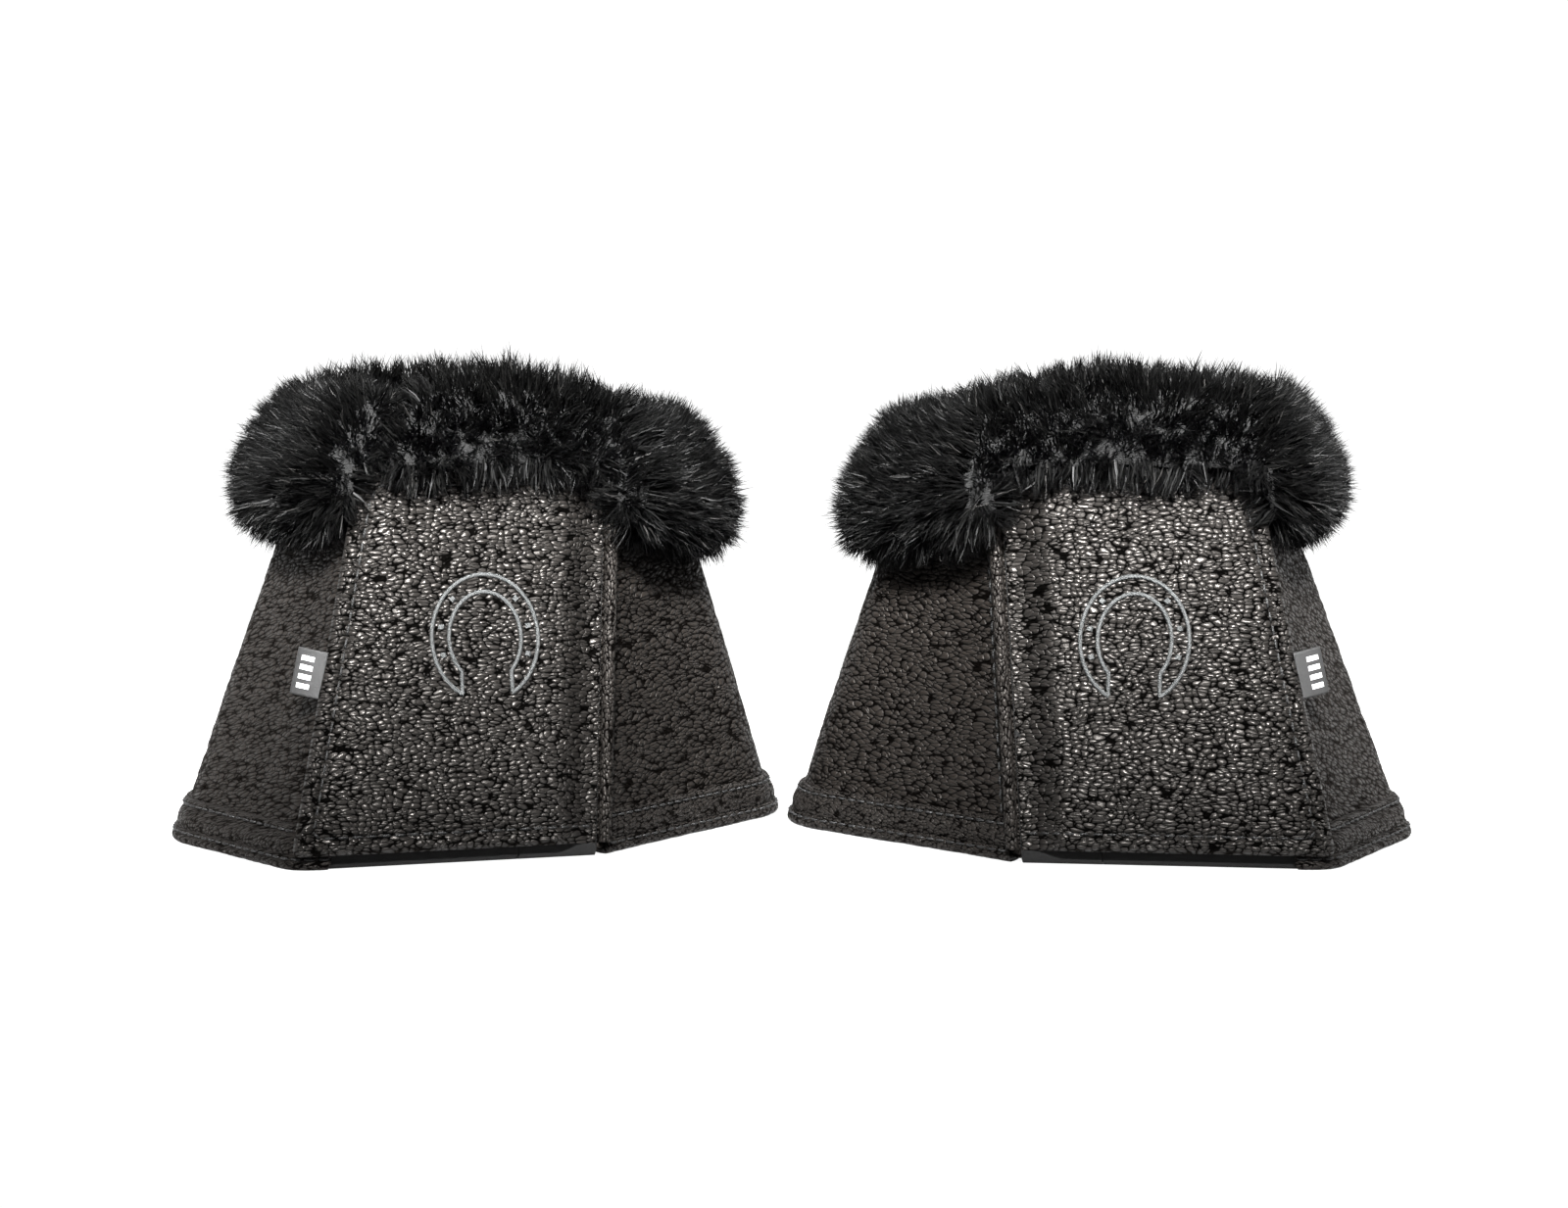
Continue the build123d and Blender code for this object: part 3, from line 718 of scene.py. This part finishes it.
# ---- the flap ----
def flap_edges(z):
    """x of the flap's free edge and of its hinge edge at height z, with rounded corners."""
    x = at(z, "corner") - FLAP_OVERHANG
    top, low = 4.5, 2.5
    near_top = np.clip(z - (RIM - top), 0, top)
    near_low = np.clip(FLAP_BOTTOM + low - z, 0, low)
    x = x + top - np.sqrt(top**2 - near_top**2) + low - np.sqrt(low**2 - near_low**2)
    return x, at(z, "seam") - FLAP_SEAM_GAP


def front_point(x, z, out):
    """A point out from the flat front; z is the height of the front below it."""
    y = at(z, "front") - out / SLOPE
    return np.stack([x, y, z + out * LEAN / SLOPE], axis=-1)


def bevel(hinge):
    """The share of the flap's full thickness at a distance from its hinge edge."""
    share = np.clip((hinge - 2.0) / (FLAP_BEVEL - 2.0), 0, 1)
    return share**2 * (3 - 2 * share)


def flap_out(x, z):
    """How far the flap's face stands out from the flat front."""
    left, right = flap_edges(z)
    side, top, low = x - left, (RIM - z) * SLOPE, (z - FLAP_BOTTOM) * SLOPE
    edge = np.minimum(np.minimum(side, top), low)
    hinge = right - x
    rounded = np.sqrt(np.clip(1 - (1 - np.clip(edge / 2.2, 0, 1)) ** 2, 0, 1))
    out = (FLAP_BACK + FLAP_FACE) / 2 - 0.5 + (FLAP_FACE - (FLAP_BACK + FLAP_FACE) / 2 + 0.5) * rounded
    groove = np.exp(-((edge - STITCH_INSET) / 1.0) ** 2)
    out -= 0.75 * groove
    plump = np.clip((edge - STITCH_INSET) / 14.0, 0, 1)
    out += 1.5 * np.sin(plump * pi / 2) * np.clip(hinge / 16.0, 0, 1)
    return 0.3 + (out - 0.3) * bevel(hinge), edge


def flap(boot):
    """The padded flap with turned edges, its backing, hook tape and stitches."""
    fine = 0.36
    columns, rows = int(84 / fine), int(99 / fine)
    t = np.linspace(0, 1, columns)
    z = FLAP_BOTTOM + (RIM - FLAP_BOTTOM) * (0.5 - 0.5 * np.cos(np.linspace(0, pi, rows)))
    z = 0.35 * z + 0.65 * np.linspace(FLAP_BOTTOM, RIM, rows)
    zz = np.broadcast_to(z, (columns, rows))
    left, right = flap_edges(zz)
    x = left + (right - left) * t[:, None]
    out, edge = flap_out(x, zz)
    seed = 12 + 31 * boot.mirrored
    pucker = 0.10 * np.exp(-((edge - STITCH_INSET) / 2.0) ** 2) * np.cos((x + zz) * 2 * pi / 3.6)
    out = out + (creases(x, zz * SLOPE, seed) + 0.25) * np.clip(edge / 3.0, 0, 1) + pucker
    face = front_point(x, zz, out)
    bz = np.broadcast_to(np.linspace(FLAP_BOTTOM, RIM, 12), (columns, 12))
    left, right = flap_edges(bz)
    bx = left + (right - left) * t[:, None]
    b_edge = np.minimum(np.minimum(bx - left, (RIM - bz) * SLOPE), (bz - FLAP_BOTTOM) * SLOPE)
    b_out = FLAP_BACK + 0.35 + 1.0 * np.clip(1 - b_edge / 1.5, 0, 1)
    b_out = 0.05 + (b_out - 0.05) * bevel(right - bx)
    back = front_point(bx, bz, b_out)
    grid = np.concatenate([face, back[:, ::-1]], axis=1)
    u = np.concatenate([x, bx[:, ::-1] + 150.0], axis=1)
    v = np.concatenate([zz, bz[:, ::-1]], axis=1) * SLOPE
    skin = make_grid("flap_cover", boot, grid, u, v, flap_skin, "leather")
    ride_on(skin, boot, "flap_cover")
    standing_for(skin, boot, "flap_leather", "flap_padding")

    flat_piece("flap_back_cloth", boot, (4.0, 5.0), (FLAP_BOTTOM + 4.0, RIM - 4.0),
               (FLAP_BACK - 0.3, FLAP_BACK + 0.5), lining_cloth, "lining", "flap_backing")
    flat_piece("hook_strip", boot, (16.0, 24.0), (12.0, 79.0), (0.45, FLAP_BACK - 0.2), hook_cloth, "hook_tape",
               "flap_hook_tape")

    corner = np.linspace(0, pi / 2, 14)
    inset = STITCH_INSET
    low_z, high_z = FLAP_BOTTOM + inset, RIM - inset
    turn = 3.0

    def left_at(height):
        return at(height, "corner") - FLAP_OVERHANG + inset

    path = [(x, low_z) for x in np.linspace(at(low_z, "seam") - 1.5, left_at(low_z) + turn, 60)]
    path += [(left_at(low_z) + turn - turn * np.sin(a), low_z + turn - turn * np.cos(a)) for a in corner]
    path += [(left_at(h), h) for h in np.linspace(low_z + turn, high_z - turn, 80)]
    path += [(left_at(high_z) + turn - turn * np.cos(a), high_z - turn + turn * np.sin(a)) for a in corner]
    path += [(x, high_z) for x in np.linspace(left_at(high_z) + turn, at(high_z, "seam") - 1.5, 60)]
    path = np.array(path)
    out = flap_out(path[:, 0], path[:, 1])[0]
    points = front_point(path[:, 0], path[:, 1], out + 0.3)
    normal = np.tile([0.0, -1.0, LEAN], (len(points), 1)) / SLOPE
    sewn("flap_thread", boot, "flap_cover", stitches(points, normal), black_thread, "thread", "flap_stitching")


def flat_piece(name, boot, margins, heights, outs, skin, slot, replaced):
    """A flat panel of the flap between two distances out from the flat front."""
    z = np.linspace(*heights, 30)
    zz = np.broadcast_to(z, (26, 30))
    left = at(zz, "corner") - FLAP_OVERHANG + margins[0]
    right = at(zz, "seam") - FLAP_SEAM_GAP - margins[1]
    x = left + (right - left) * np.linspace(0, 1, 26)[:, None]
    share = np.sin(np.clip((at(zz, "seam") - x) / FLAP_BEVEL, 0, 1) * pi / 2)
    faces = [front_point(x, zz, 0.05 + (out - 0.05) * share) for out in outs[::-1]]
    grid = np.concatenate([faces[0], faces[1][:, ::-1]], axis=1)
    u = np.concatenate([x, x[:, ::-1]], axis=1)
    v = np.concatenate([zz, zz[:, ::-1] + 120.0], axis=1)
    obj = ride_on(make_grid(name, boot, grid, u, v, skin, slot), boot, "flap_cover")
    standing_for(obj, boot, replaced)


# ---- seam, tag and motif ----
def beside_seam(z, along, out):
    """A point beside the seam: along the inner side and out from its face."""
    centre = np.array([at(z, "shift"), 0.0])
    turn = radians(at(z, "inner"))
    corner = np.array([at(z, "seam"), at(z, "front")])
    way = unit(centre + at(z, "radius") * np.array([cos(turn), sin(turn)]) - corner)
    spot = corner + way * along + np.array([way[1], -way[0]]) * out
    return np.array([*spot, z])


def seam(boot):
    """The rolled seam that the flap turns on, and the row of stitches beside it."""
    heights = np.linspace(3.6, 100.0, 240)
    path = np.array([beside_seam(z, 1.19, ROLL_RADIUS + 0.1) for z in heights])
    wrinkle = 1 + 0.05 * waves(heights, heights * 0, 2.6, 5) + 0.03 * waves(heights, heights * 0, 1.1, 6)
    points, faces = tube(path, ROLL_RADIUS * wrinkle, 20, up=(1, 0, 0))
    pattern = np.stack([np.repeat(heights, 20), np.tile(np.arange(20) * 0.53, len(heights)),
                        np.zeros(len(points))], axis=-1)
    roll = make("seam_piping", boot, points, faces, trim_skin, "leather", pattern)
    standing_for(ride_on(roll, boot, "shell"), boot, "seam_roll")
    heights = np.linspace(11.8, 80.0, 90)
    path = np.array([beside_seam(z, 5.6, 0.15) for z in heights])
    normal = unit_rows(np.array([beside_seam(z, 5.6, 1.15) for z in heights]) - path)
    sewn("seam_thread", boot, "shell", stitches(path, normal), black_thread, "thread", "seam_stitching")


def size_tag(boot):
    """A folded ribbon that stands out from the flap's free edge, with plain woven bars."""
    middle = (TAG_LOW + TAG_HIGH) / 2
    tilt = atan2(TOP["corner"] - HEM["corner"], RIM)
    turn = radians(TAG_ANGLE)
    lean = np.array([[cos(tilt), 0, sin(tilt)], [0, 1, 0], [-sin(tilt), 0, cos(tilt)]])
    along = lean @ np.array([cos(turn), sin(turn), 0])
    up = lean @ np.array([0, 0, 1.0])
    thick = np.cross(up, along)
    left = at(middle, "corner") - FLAP_OVERHANG
    root = front_point(np.array(left + 0.6), np.array(middle), (FLAP_BACK + FLAP_FACE) / 2)
    reach = TAG_LENGTH + 1.0
    s = np.linspace(0, 1, 20)
    curl = 0.9 * np.sin(s * pi * 0.8)
    half = 0.42 * np.sqrt(np.clip(1 - np.clip((s - 0.93) / 0.07, 0, 1) ** 2, 0.02, 1))
    height = np.linspace(-0.5, 0.5, 24) * (TAG_HIGH - TAG_LOW)

    def sheet(out_from):
        base = root + along * (s * reach)[:, None] + thick * (curl + out_from * half)[:, None]
        return base[:, None] + up * height[None, :, None]

    grid = np.concatenate([sheet(-1.0), sheet(1.0)[:, ::-1]], axis=1)
    u = np.broadcast_to((s * reach)[:, None], grid.shape[:2])
    v = np.broadcast_to(np.concatenate([height, height[::-1]]), grid.shape[:2])
    tag = make_grid("ribbon_tag", boot, grid, u, v, ribbon, "tag_ribbon")
    standing_for(ride_on(tag, boot, "flap"), boot, "size_tag")
    parts = []
    for side in (-1.0, 1.0):
        for middle_h in (-3.6, -1.2, 1.2, 3.6):
            for shift in np.linspace(-0.5, 0.5, 5):
                k = (s > 0.34) & (s < 0.80)
                line = (root + along * (s[k] * reach)[:, None] + up * (middle_h + shift)
                        + thick * (curl[k] + side * (half[k] + 0.05))[:, None])
                parts.append(tube(line, 0.14, 5, up=thick))
    ride_on(make("tag_bars", boot, *joined(parts), white_thread, "embroidery"), boot, "flap")


def horseshoe_line(wide, tall, opening):
    """The open arc of an ellipse, as points, from one heel over the toe to the other."""
    start = -pi / 2 + np.arcsin(opening / 2 / wide)
    a = np.linspace(start, pi - start, 120)
    return np.column_stack([wide * np.cos(a), tall * np.sin(a)])


def motif(boot):
    """A horseshoe outline in satin stitch with its nail holes."""
    outer = horseshoe_line(13.95, 16.45, 13.1)
    inner = horseshoe_line(9.45, 11.95, 13.1)
    loop = np.concatenate([outer, inner[::-1], outer[:1]])
    step = arc_length(loop)
    pitch = 0.31
    s = np.arange(0, step[-1], pitch)
    spots = points_at(s, step, loop)
    way = unit_rows(np.column_stack([np.gradient(spots[:, 0]), np.gradient(spots[:, 1])]))
    across = np.column_stack([-way[:, 1], way[:, 0]])
    slant = unit_rows(across + 0.35 * way)
    strands = [(spot, w, 0.5) for spot, w in zip(spots, slant)]
    for turn in (-18, 12, 45, 135, 168, 198):
        a = radians(turn)
        spot = np.array([11.7 * cos(a), 14.2 * sin(a)])
        for shift in np.arange(-0.62, 0.63, 0.25):
            strands.append((spot + np.array([-sin(a), cos(a)]) * shift, np.array([cos(a), sin(a)]), 0.72))
    parts = []
    t = np.linspace(-1, 1, 5)
    for spot, w, half in strands:
        p = spot + w * (t * half)[:, None]
        x, h = MOTIF[0] + p[:, 0], MOTIF[1] * SLOPE + p[:, 1]
        out = flap_out(x, h / SLOPE)[0]
        lift = out.mean() + 0.22 + 0.42 * np.sqrt(np.clip(1 - (t * 0.98) ** 2, 0, 1))
        parts.append(tube(front_point(x, h / SLOPE, lift), 0.17, 5, up=(0, -1, 0)))
    sewn("horseshoe", boot, "flap", joined(parts), silver_thread, "embroidery", "motif")


# ---- the collar ----
def collar_section(count=64):
    """The section under the collar's pile, rounded, as evenly spaced (out, height)."""
    p = round_section(COLLAR)
    way = unit_rows(np.roll(p, -1, axis=0) - np.roll(p, 1, axis=0))
    p = p - np.column_stack([way[:, 1], -way[:, 0]]) * COLLAR_SKIN
    closed = np.concatenate([p, p[:1]])
    step = arc_length(closed)
    return points_at(np.linspace(0, step[-1], count, endpoint=False), step, closed)


def collar_place(marks, s, section):
    """Points of the collar: s from 0 to 1 between two marks, for each (out, height) of a section."""
    grid = []
    for out, z in section:
        line = outline(COLLAR_PLAN, out)
        length = arc_length(line)
        low, high = [mark(m, COLLAR_PLAN, out, line, length) for m in marks]
        a = low + (high - low) * s
        grid.append(np.column_stack([points_at(a, length, line), np.full(len(s), z)]))
    return np.stack(grid, axis=1)


def below_flap_top(p, spare=0.0):
    """Whether points lie in front of the flat front, below the flap's top edge."""
    x, y, z = p[..., 0], p[..., 1], p[..., 2]
    beside = (x > at(z, "corner") - FLAP_OVERHANG - 1.0 - spare) & (x < at(z, "seam") + 1.0)
    return beside & (z < RIM + 1.2 + spare) & (y < at(z, "front") - 0.4 + spare)


def in_flap(p):
    """Whether points lie within the flap's own thickness."""
    return below_flap_top(p) & (p[..., 1] > at(p[..., 2], "front") - (FLAP_FACE + 1.3) * SLOPE)


def pile(boot, part, kind, marks, ends, seed):
    """One length of the collar: a dark ground and the strands that stand on it, in tufts."""
    rng = np.random.default_rng(seed)
    count = 90
    s = np.linspace(0, 1, count)
    section = collar_section()
    grid = collar_place(marks, s, section)
    middle = grid.mean(axis=1, keepdims=True)
    span = np.linalg.norm(np.diff(middle[:, 0], axis=0), axis=1)
    far_in = np.concatenate([[0], np.cumsum(span)])
    for near, reach in ((far_in, ends[0]), (far_in[-1] - far_in, ends[1])):
        if reach:
            close = np.clip(1 - near / reach, 0, 1)[:, None, None]
            grid = middle + (grid - middle) * (1 - 0.5 * close**2)
    turn = np.arctan2(middle[:, 0, 1], middle[:, 0, 0] - TOP["shift"])
    sideways = np.cos(turn)[:, None]
    low_down = np.clip((110 - grid[..., 2]) / 12, 0, 1)
    bulge = COLLAR_BULGE * np.abs(sideways) * low_down * np.clip(section[:, 0] / 8, 0, 1)
    away = np.concatenate([sideways, np.sin(turn)[:, None]], axis=1)
    grid[..., :2] += bulge[:, :, None] * away[:, None]
    drop_inside = COLLAR_INNER_DROP * np.clip(sideways, 0, 1) ** 1.5
    grid[..., 2] += COLLAR_RISE - drop_inside - COLLAR_OUTER_DROP * np.clip(-sideways, 0, 1) ** 2
    blocked = below_flap_top(grid)
    grid[..., 1] = np.where(blocked, at(grid[..., 2], "front") - 0.3, grid[..., 1])
    normal = closed_normals(grid)

    u = np.broadcast_to(far_in[:, None], grid.shape[:2])
    v = np.broadcast_to(np.arange(grid.shape[1]) * 1.7, grid.shape[:2])
    ground = make_grid(f"{part}_pile_ground", boot, grid, u, v, pile_ground, "plush")
    ride_on(ground, boot, kind)
    standing_for(ground, boot, f"{part}_collar_fur", f"{part}_collar_core")

    wrapped = np.concatenate([grid, grid[:, :1]], axis=1)
    wrapped_n = np.concatenate([normal, normal[:, :1]], axis=1)
    a, b, c = wrapped[:-1, :-1], wrapped[1:, :-1], wrapped[:-1, 1:]
    area = np.linalg.norm(np.cross(b - a, c - a), axis=2)
    in_wall = (section[:, 0] > -4.5) & (section[:, 0] < 3.5) & (section[:, 1] < WALL_TOP)
    hidden = below_flap_top(a, -0.6) | in_wall[None, :]
    area = np.where(hidden, 0, area)
    total = area.sum()
    share = np.cumsum(area.ravel()) / total

    tufts = int(total / (4.6))
    per_tuft = 13
    pick = np.searchsorted(share, (np.arange(tufts) + rng.random(tufts)) / tufts)
    pick = np.clip(pick, 0, area.size - 1)
    i, j = np.unravel_index(pick, area.shape)
    fi, fj = rng.random(tufts), rng.random(tufts)

    def sample(field):
        p = field[i, j] * ((1 - fi) * (1 - fj))[:, None] + field[i + 1, j] * (fi * (1 - fj))[:, None]
        return p + field[i, j + 1] * ((1 - fi) * fj)[:, None] + field[i + 1, j + 1] * (fi * fj)[:, None]

    root, out = sample(wrapped), unit_rows(sample(wrapped_n))
    along = unit_rows(np.cross(out, np.array([0.0, 0.0, 1.0])) + 1e-6)
    rise = np.cross(along, out)
    swirl = waves(root[:, 0] + root[:, 2], root[:, 1] - root[:, 2], 16.0, seed + 1)
    lift = waves(root[:, 0] - root[:, 2], root[:, 1] + root[:, 2], 13.0, seed + 2)
    comb = along * (0.30 * swirl + 0.22 * rng.normal(size=tufts))[:, None]
    comb += rise * (0.05 + 0.25 * lift + 0.22 * rng.normal(size=tufts))[:, None]
    comb[:, 2] -= 0.10
    heading = unit_rows(out + comb)
    reach = (COLLAR_SKIN + 1.0) * (1 + 0.09 * rng.normal(size=tufts)) + 0.7 * swirl
    run = far_in[i] + fi * np.diff(far_in)[np.minimum(i, len(far_in) - 2)]
    for near, width in ((run, ends[0]), (far_in[-1] - run, ends[1])):
        if width:
            reach = reach * (1 - 0.35 * np.clip(1 - near / width, 0, 1))

    n = tufts * per_tuft
    owner = np.repeat(np.arange(tufts), per_tuft)
    angle, spread = rng.random(n) * 2 * pi, np.sqrt(rng.random(n)) * 1.9
    offset = along[owner] * (np.cos(angle) * spread)[:, None] + rise[owner] * (np.sin(angle) * spread)[:, None]
    base = root[owner] + offset - out[owner] * 0.7
    wild = unit_rows(heading[owner] + rng.normal(size=(n, 3)) * 0.13)
    length = reach[owner] * (1 + 0.10 * rng.normal(size=n))
    tip = root[owner] + wild * length[:, None] + offset * (0.30 + 0.25 * rng.random(n))[:, None]
    mid = 0.5 * (base + tip) + offset * 0.28 + out[owner] * 0.35
    keep = ~(in_flap(base) | in_flap(mid) | in_flap(tip))
    base, mid, tip = base[keep], mid[keep], tip[keep]
    n = len(base)
    width = 0.19 * (1 + 0.25 * rng.normal(size=n))[:, None]
    side = unit_rows(np.cross(tip - base, rng.normal(size=(n, 3)))) * width
    points = np.stack([base - side, base + side, mid + side * 0.85, mid - side * 0.85, tip], axis=1)
    index = np.arange(n)[:, None] * 5
    quads, tips = index + np.array([[0, 1, 2, 3]]), index + np.array([[3, 2, 4]])
    tuft_tone = rng.random(tufts)[owner][keep]
    own = rng.random(n)
    tone = np.where(own < 0.022, 2, np.where(own + 0.6 * tuft_tone < 0.62, 1, 0))
    strands = make(f"{part}_pile", boot, points.reshape(-1, 3), [quads, tips], pile_tones, "plush",
                   tones=np.concatenate([tone, tone]))
    ride_on(strands, boot, kind)


def closed_normals(grid):
    """Outward normals of a grid whose rows close on themselves."""
    along = np.gradient(grid, axis=0)
    round_it = np.roll(grid, -1, axis=1) - np.roll(grid, 1, axis=1)
    n = np.cross(along, round_it)
    return n / np.maximum(np.linalg.norm(n, axis=2, keepdims=True), 1e-9)


def collar(boot):
    seed = 700 if boot.mirrored else 300
    notch = 0.0 if boot.mirrored else 8.0
    pile(boot, "rear", "shell", (("seam", 2.0), "fold"), (0.0, 0.0), seed)
    pile(boot, "wrap", "wrap", ("fold", "butt"), (0.0, notch), seed + 10)
    pile(boot, "flap", "flap", ("butt", "end"), (notch, 0.0), seed + 20)


for side, mirrored in (("left", False), ("right", True)):
    boot = Boot(side, mirrored)
    walls(boot)
    hem(boot)
    front_cloth(boot)
    flap(boot)
    seam(boot)
    size_tag(boot)
    motif(boot)
    collar(boot)


# ---- floor, light and camera ----
def backdrop():
    """A white floor that runs far out in front and curves up behind and, lower, at both sides."""
    y = np.concatenate([np.linspace(-9.0, 1.6, 12), 1.6 + 0.8 * np.sin(np.linspace(0.1, pi / 2, 14)), [2.4]])
    z = np.concatenate([np.zeros(12), 0.8 - 0.8 * np.cos(np.linspace(0.1, pi / 2, 14)), [3.5]])
    side_x = np.array([4.0, 4.3, 4.5, 4.55, 4.55])
    side_z = np.array([0.0, 0.06, 0.25, 0.6, 1.3])
    x = np.concatenate([-side_x[::-1], side_x])
    rise = np.concatenate([side_z[::-1], side_z])
    verts = [(a, b, max(c, up)) for a, up in zip(x, rise) for b, c in zip(y, z)]
    n = len(y)
    faces = [(m * n + k, m * n + n + k, m * n + n + k + 1, m * n + k + 1) for m in range(len(x) - 1)
             for k in range(n - 1)]
    mesh = bpy.data.meshes.new("floor")
    mesh.from_pydata(verts, [], faces)
    mesh.polygons.foreach_set("use_smooth", np.ones(len(faces), bool))
    mat, shader = material("floor_white")[:2]
    shader.inputs["Base Color"].default_value = (0.12, 0.12, 0.12, 1)
    shader.inputs["Roughness"].default_value = 0.9
    shader.inputs["Emission Color"].default_value = (1, 1, 1, 1)
    shader.inputs["Emission Strength"].default_value = 0.9
    mesh.materials.append(mat)
    floor = bpy.data.objects.new("floor", mesh)
    bpy.context.scene.collection.objects.link(floor)


def area_light(name, place, target, size, power, spread=180):
    data = bpy.data.lights.new(name, "AREA")
    data.shape, data.size, data.size_y, data.energy = "RECTANGLE", *size, power
    data.spread = radians(spread)
    lamp = bpy.data.objects.new(name, data)
    lamp.location = place
    lamp.rotation_euler = (Vector(target) - Vector(place)).to_track_quat("-Z", "Y").to_euler()
    bpy.context.scene.collection.objects.link(lamp)


backdrop()
world = bpy.data.worlds.new("studio")
world.use_nodes = True
world.node_tree.nodes["Background"].inputs["Color"].default_value = (1, 1, 1, 1)
world.node_tree.nodes["Background"].inputs["Strength"].default_value = 0.05
bpy.context.scene.world = world
area_light("key", (0.0, -0.69, 0.55), (0.0, -0.09, 0.145), (0.56, 0.06), 5.0, 19)
area_light("top", (0.0, 0.45, 1.1), (0.0, 0.15, 0.0), (1.2, 0.4), 9.0)
area_light("rear", (0.0, 1.1, 1.6), (0.0, 2.0, 0.4), (3.0, 0.8), 60.0)
bpy.context.scene.view_settings.view_transform = "Standard"

camera = bpy.data.objects.new("camera", bpy.data.cameras.new("camera"))
camera.data.lens = 67.3
camera.data.sensor_width = 36.0
camera.location = (-0.0021, -0.8126, 0.134)
camera.rotation_euler = (Vector((-0.0021, -0.0124, 0.063)) - camera.location).to_track_quat("-Z", "Y").to_euler()
bpy.context.scene.collection.objects.link(camera)
bpy.context.scene.camera = camera
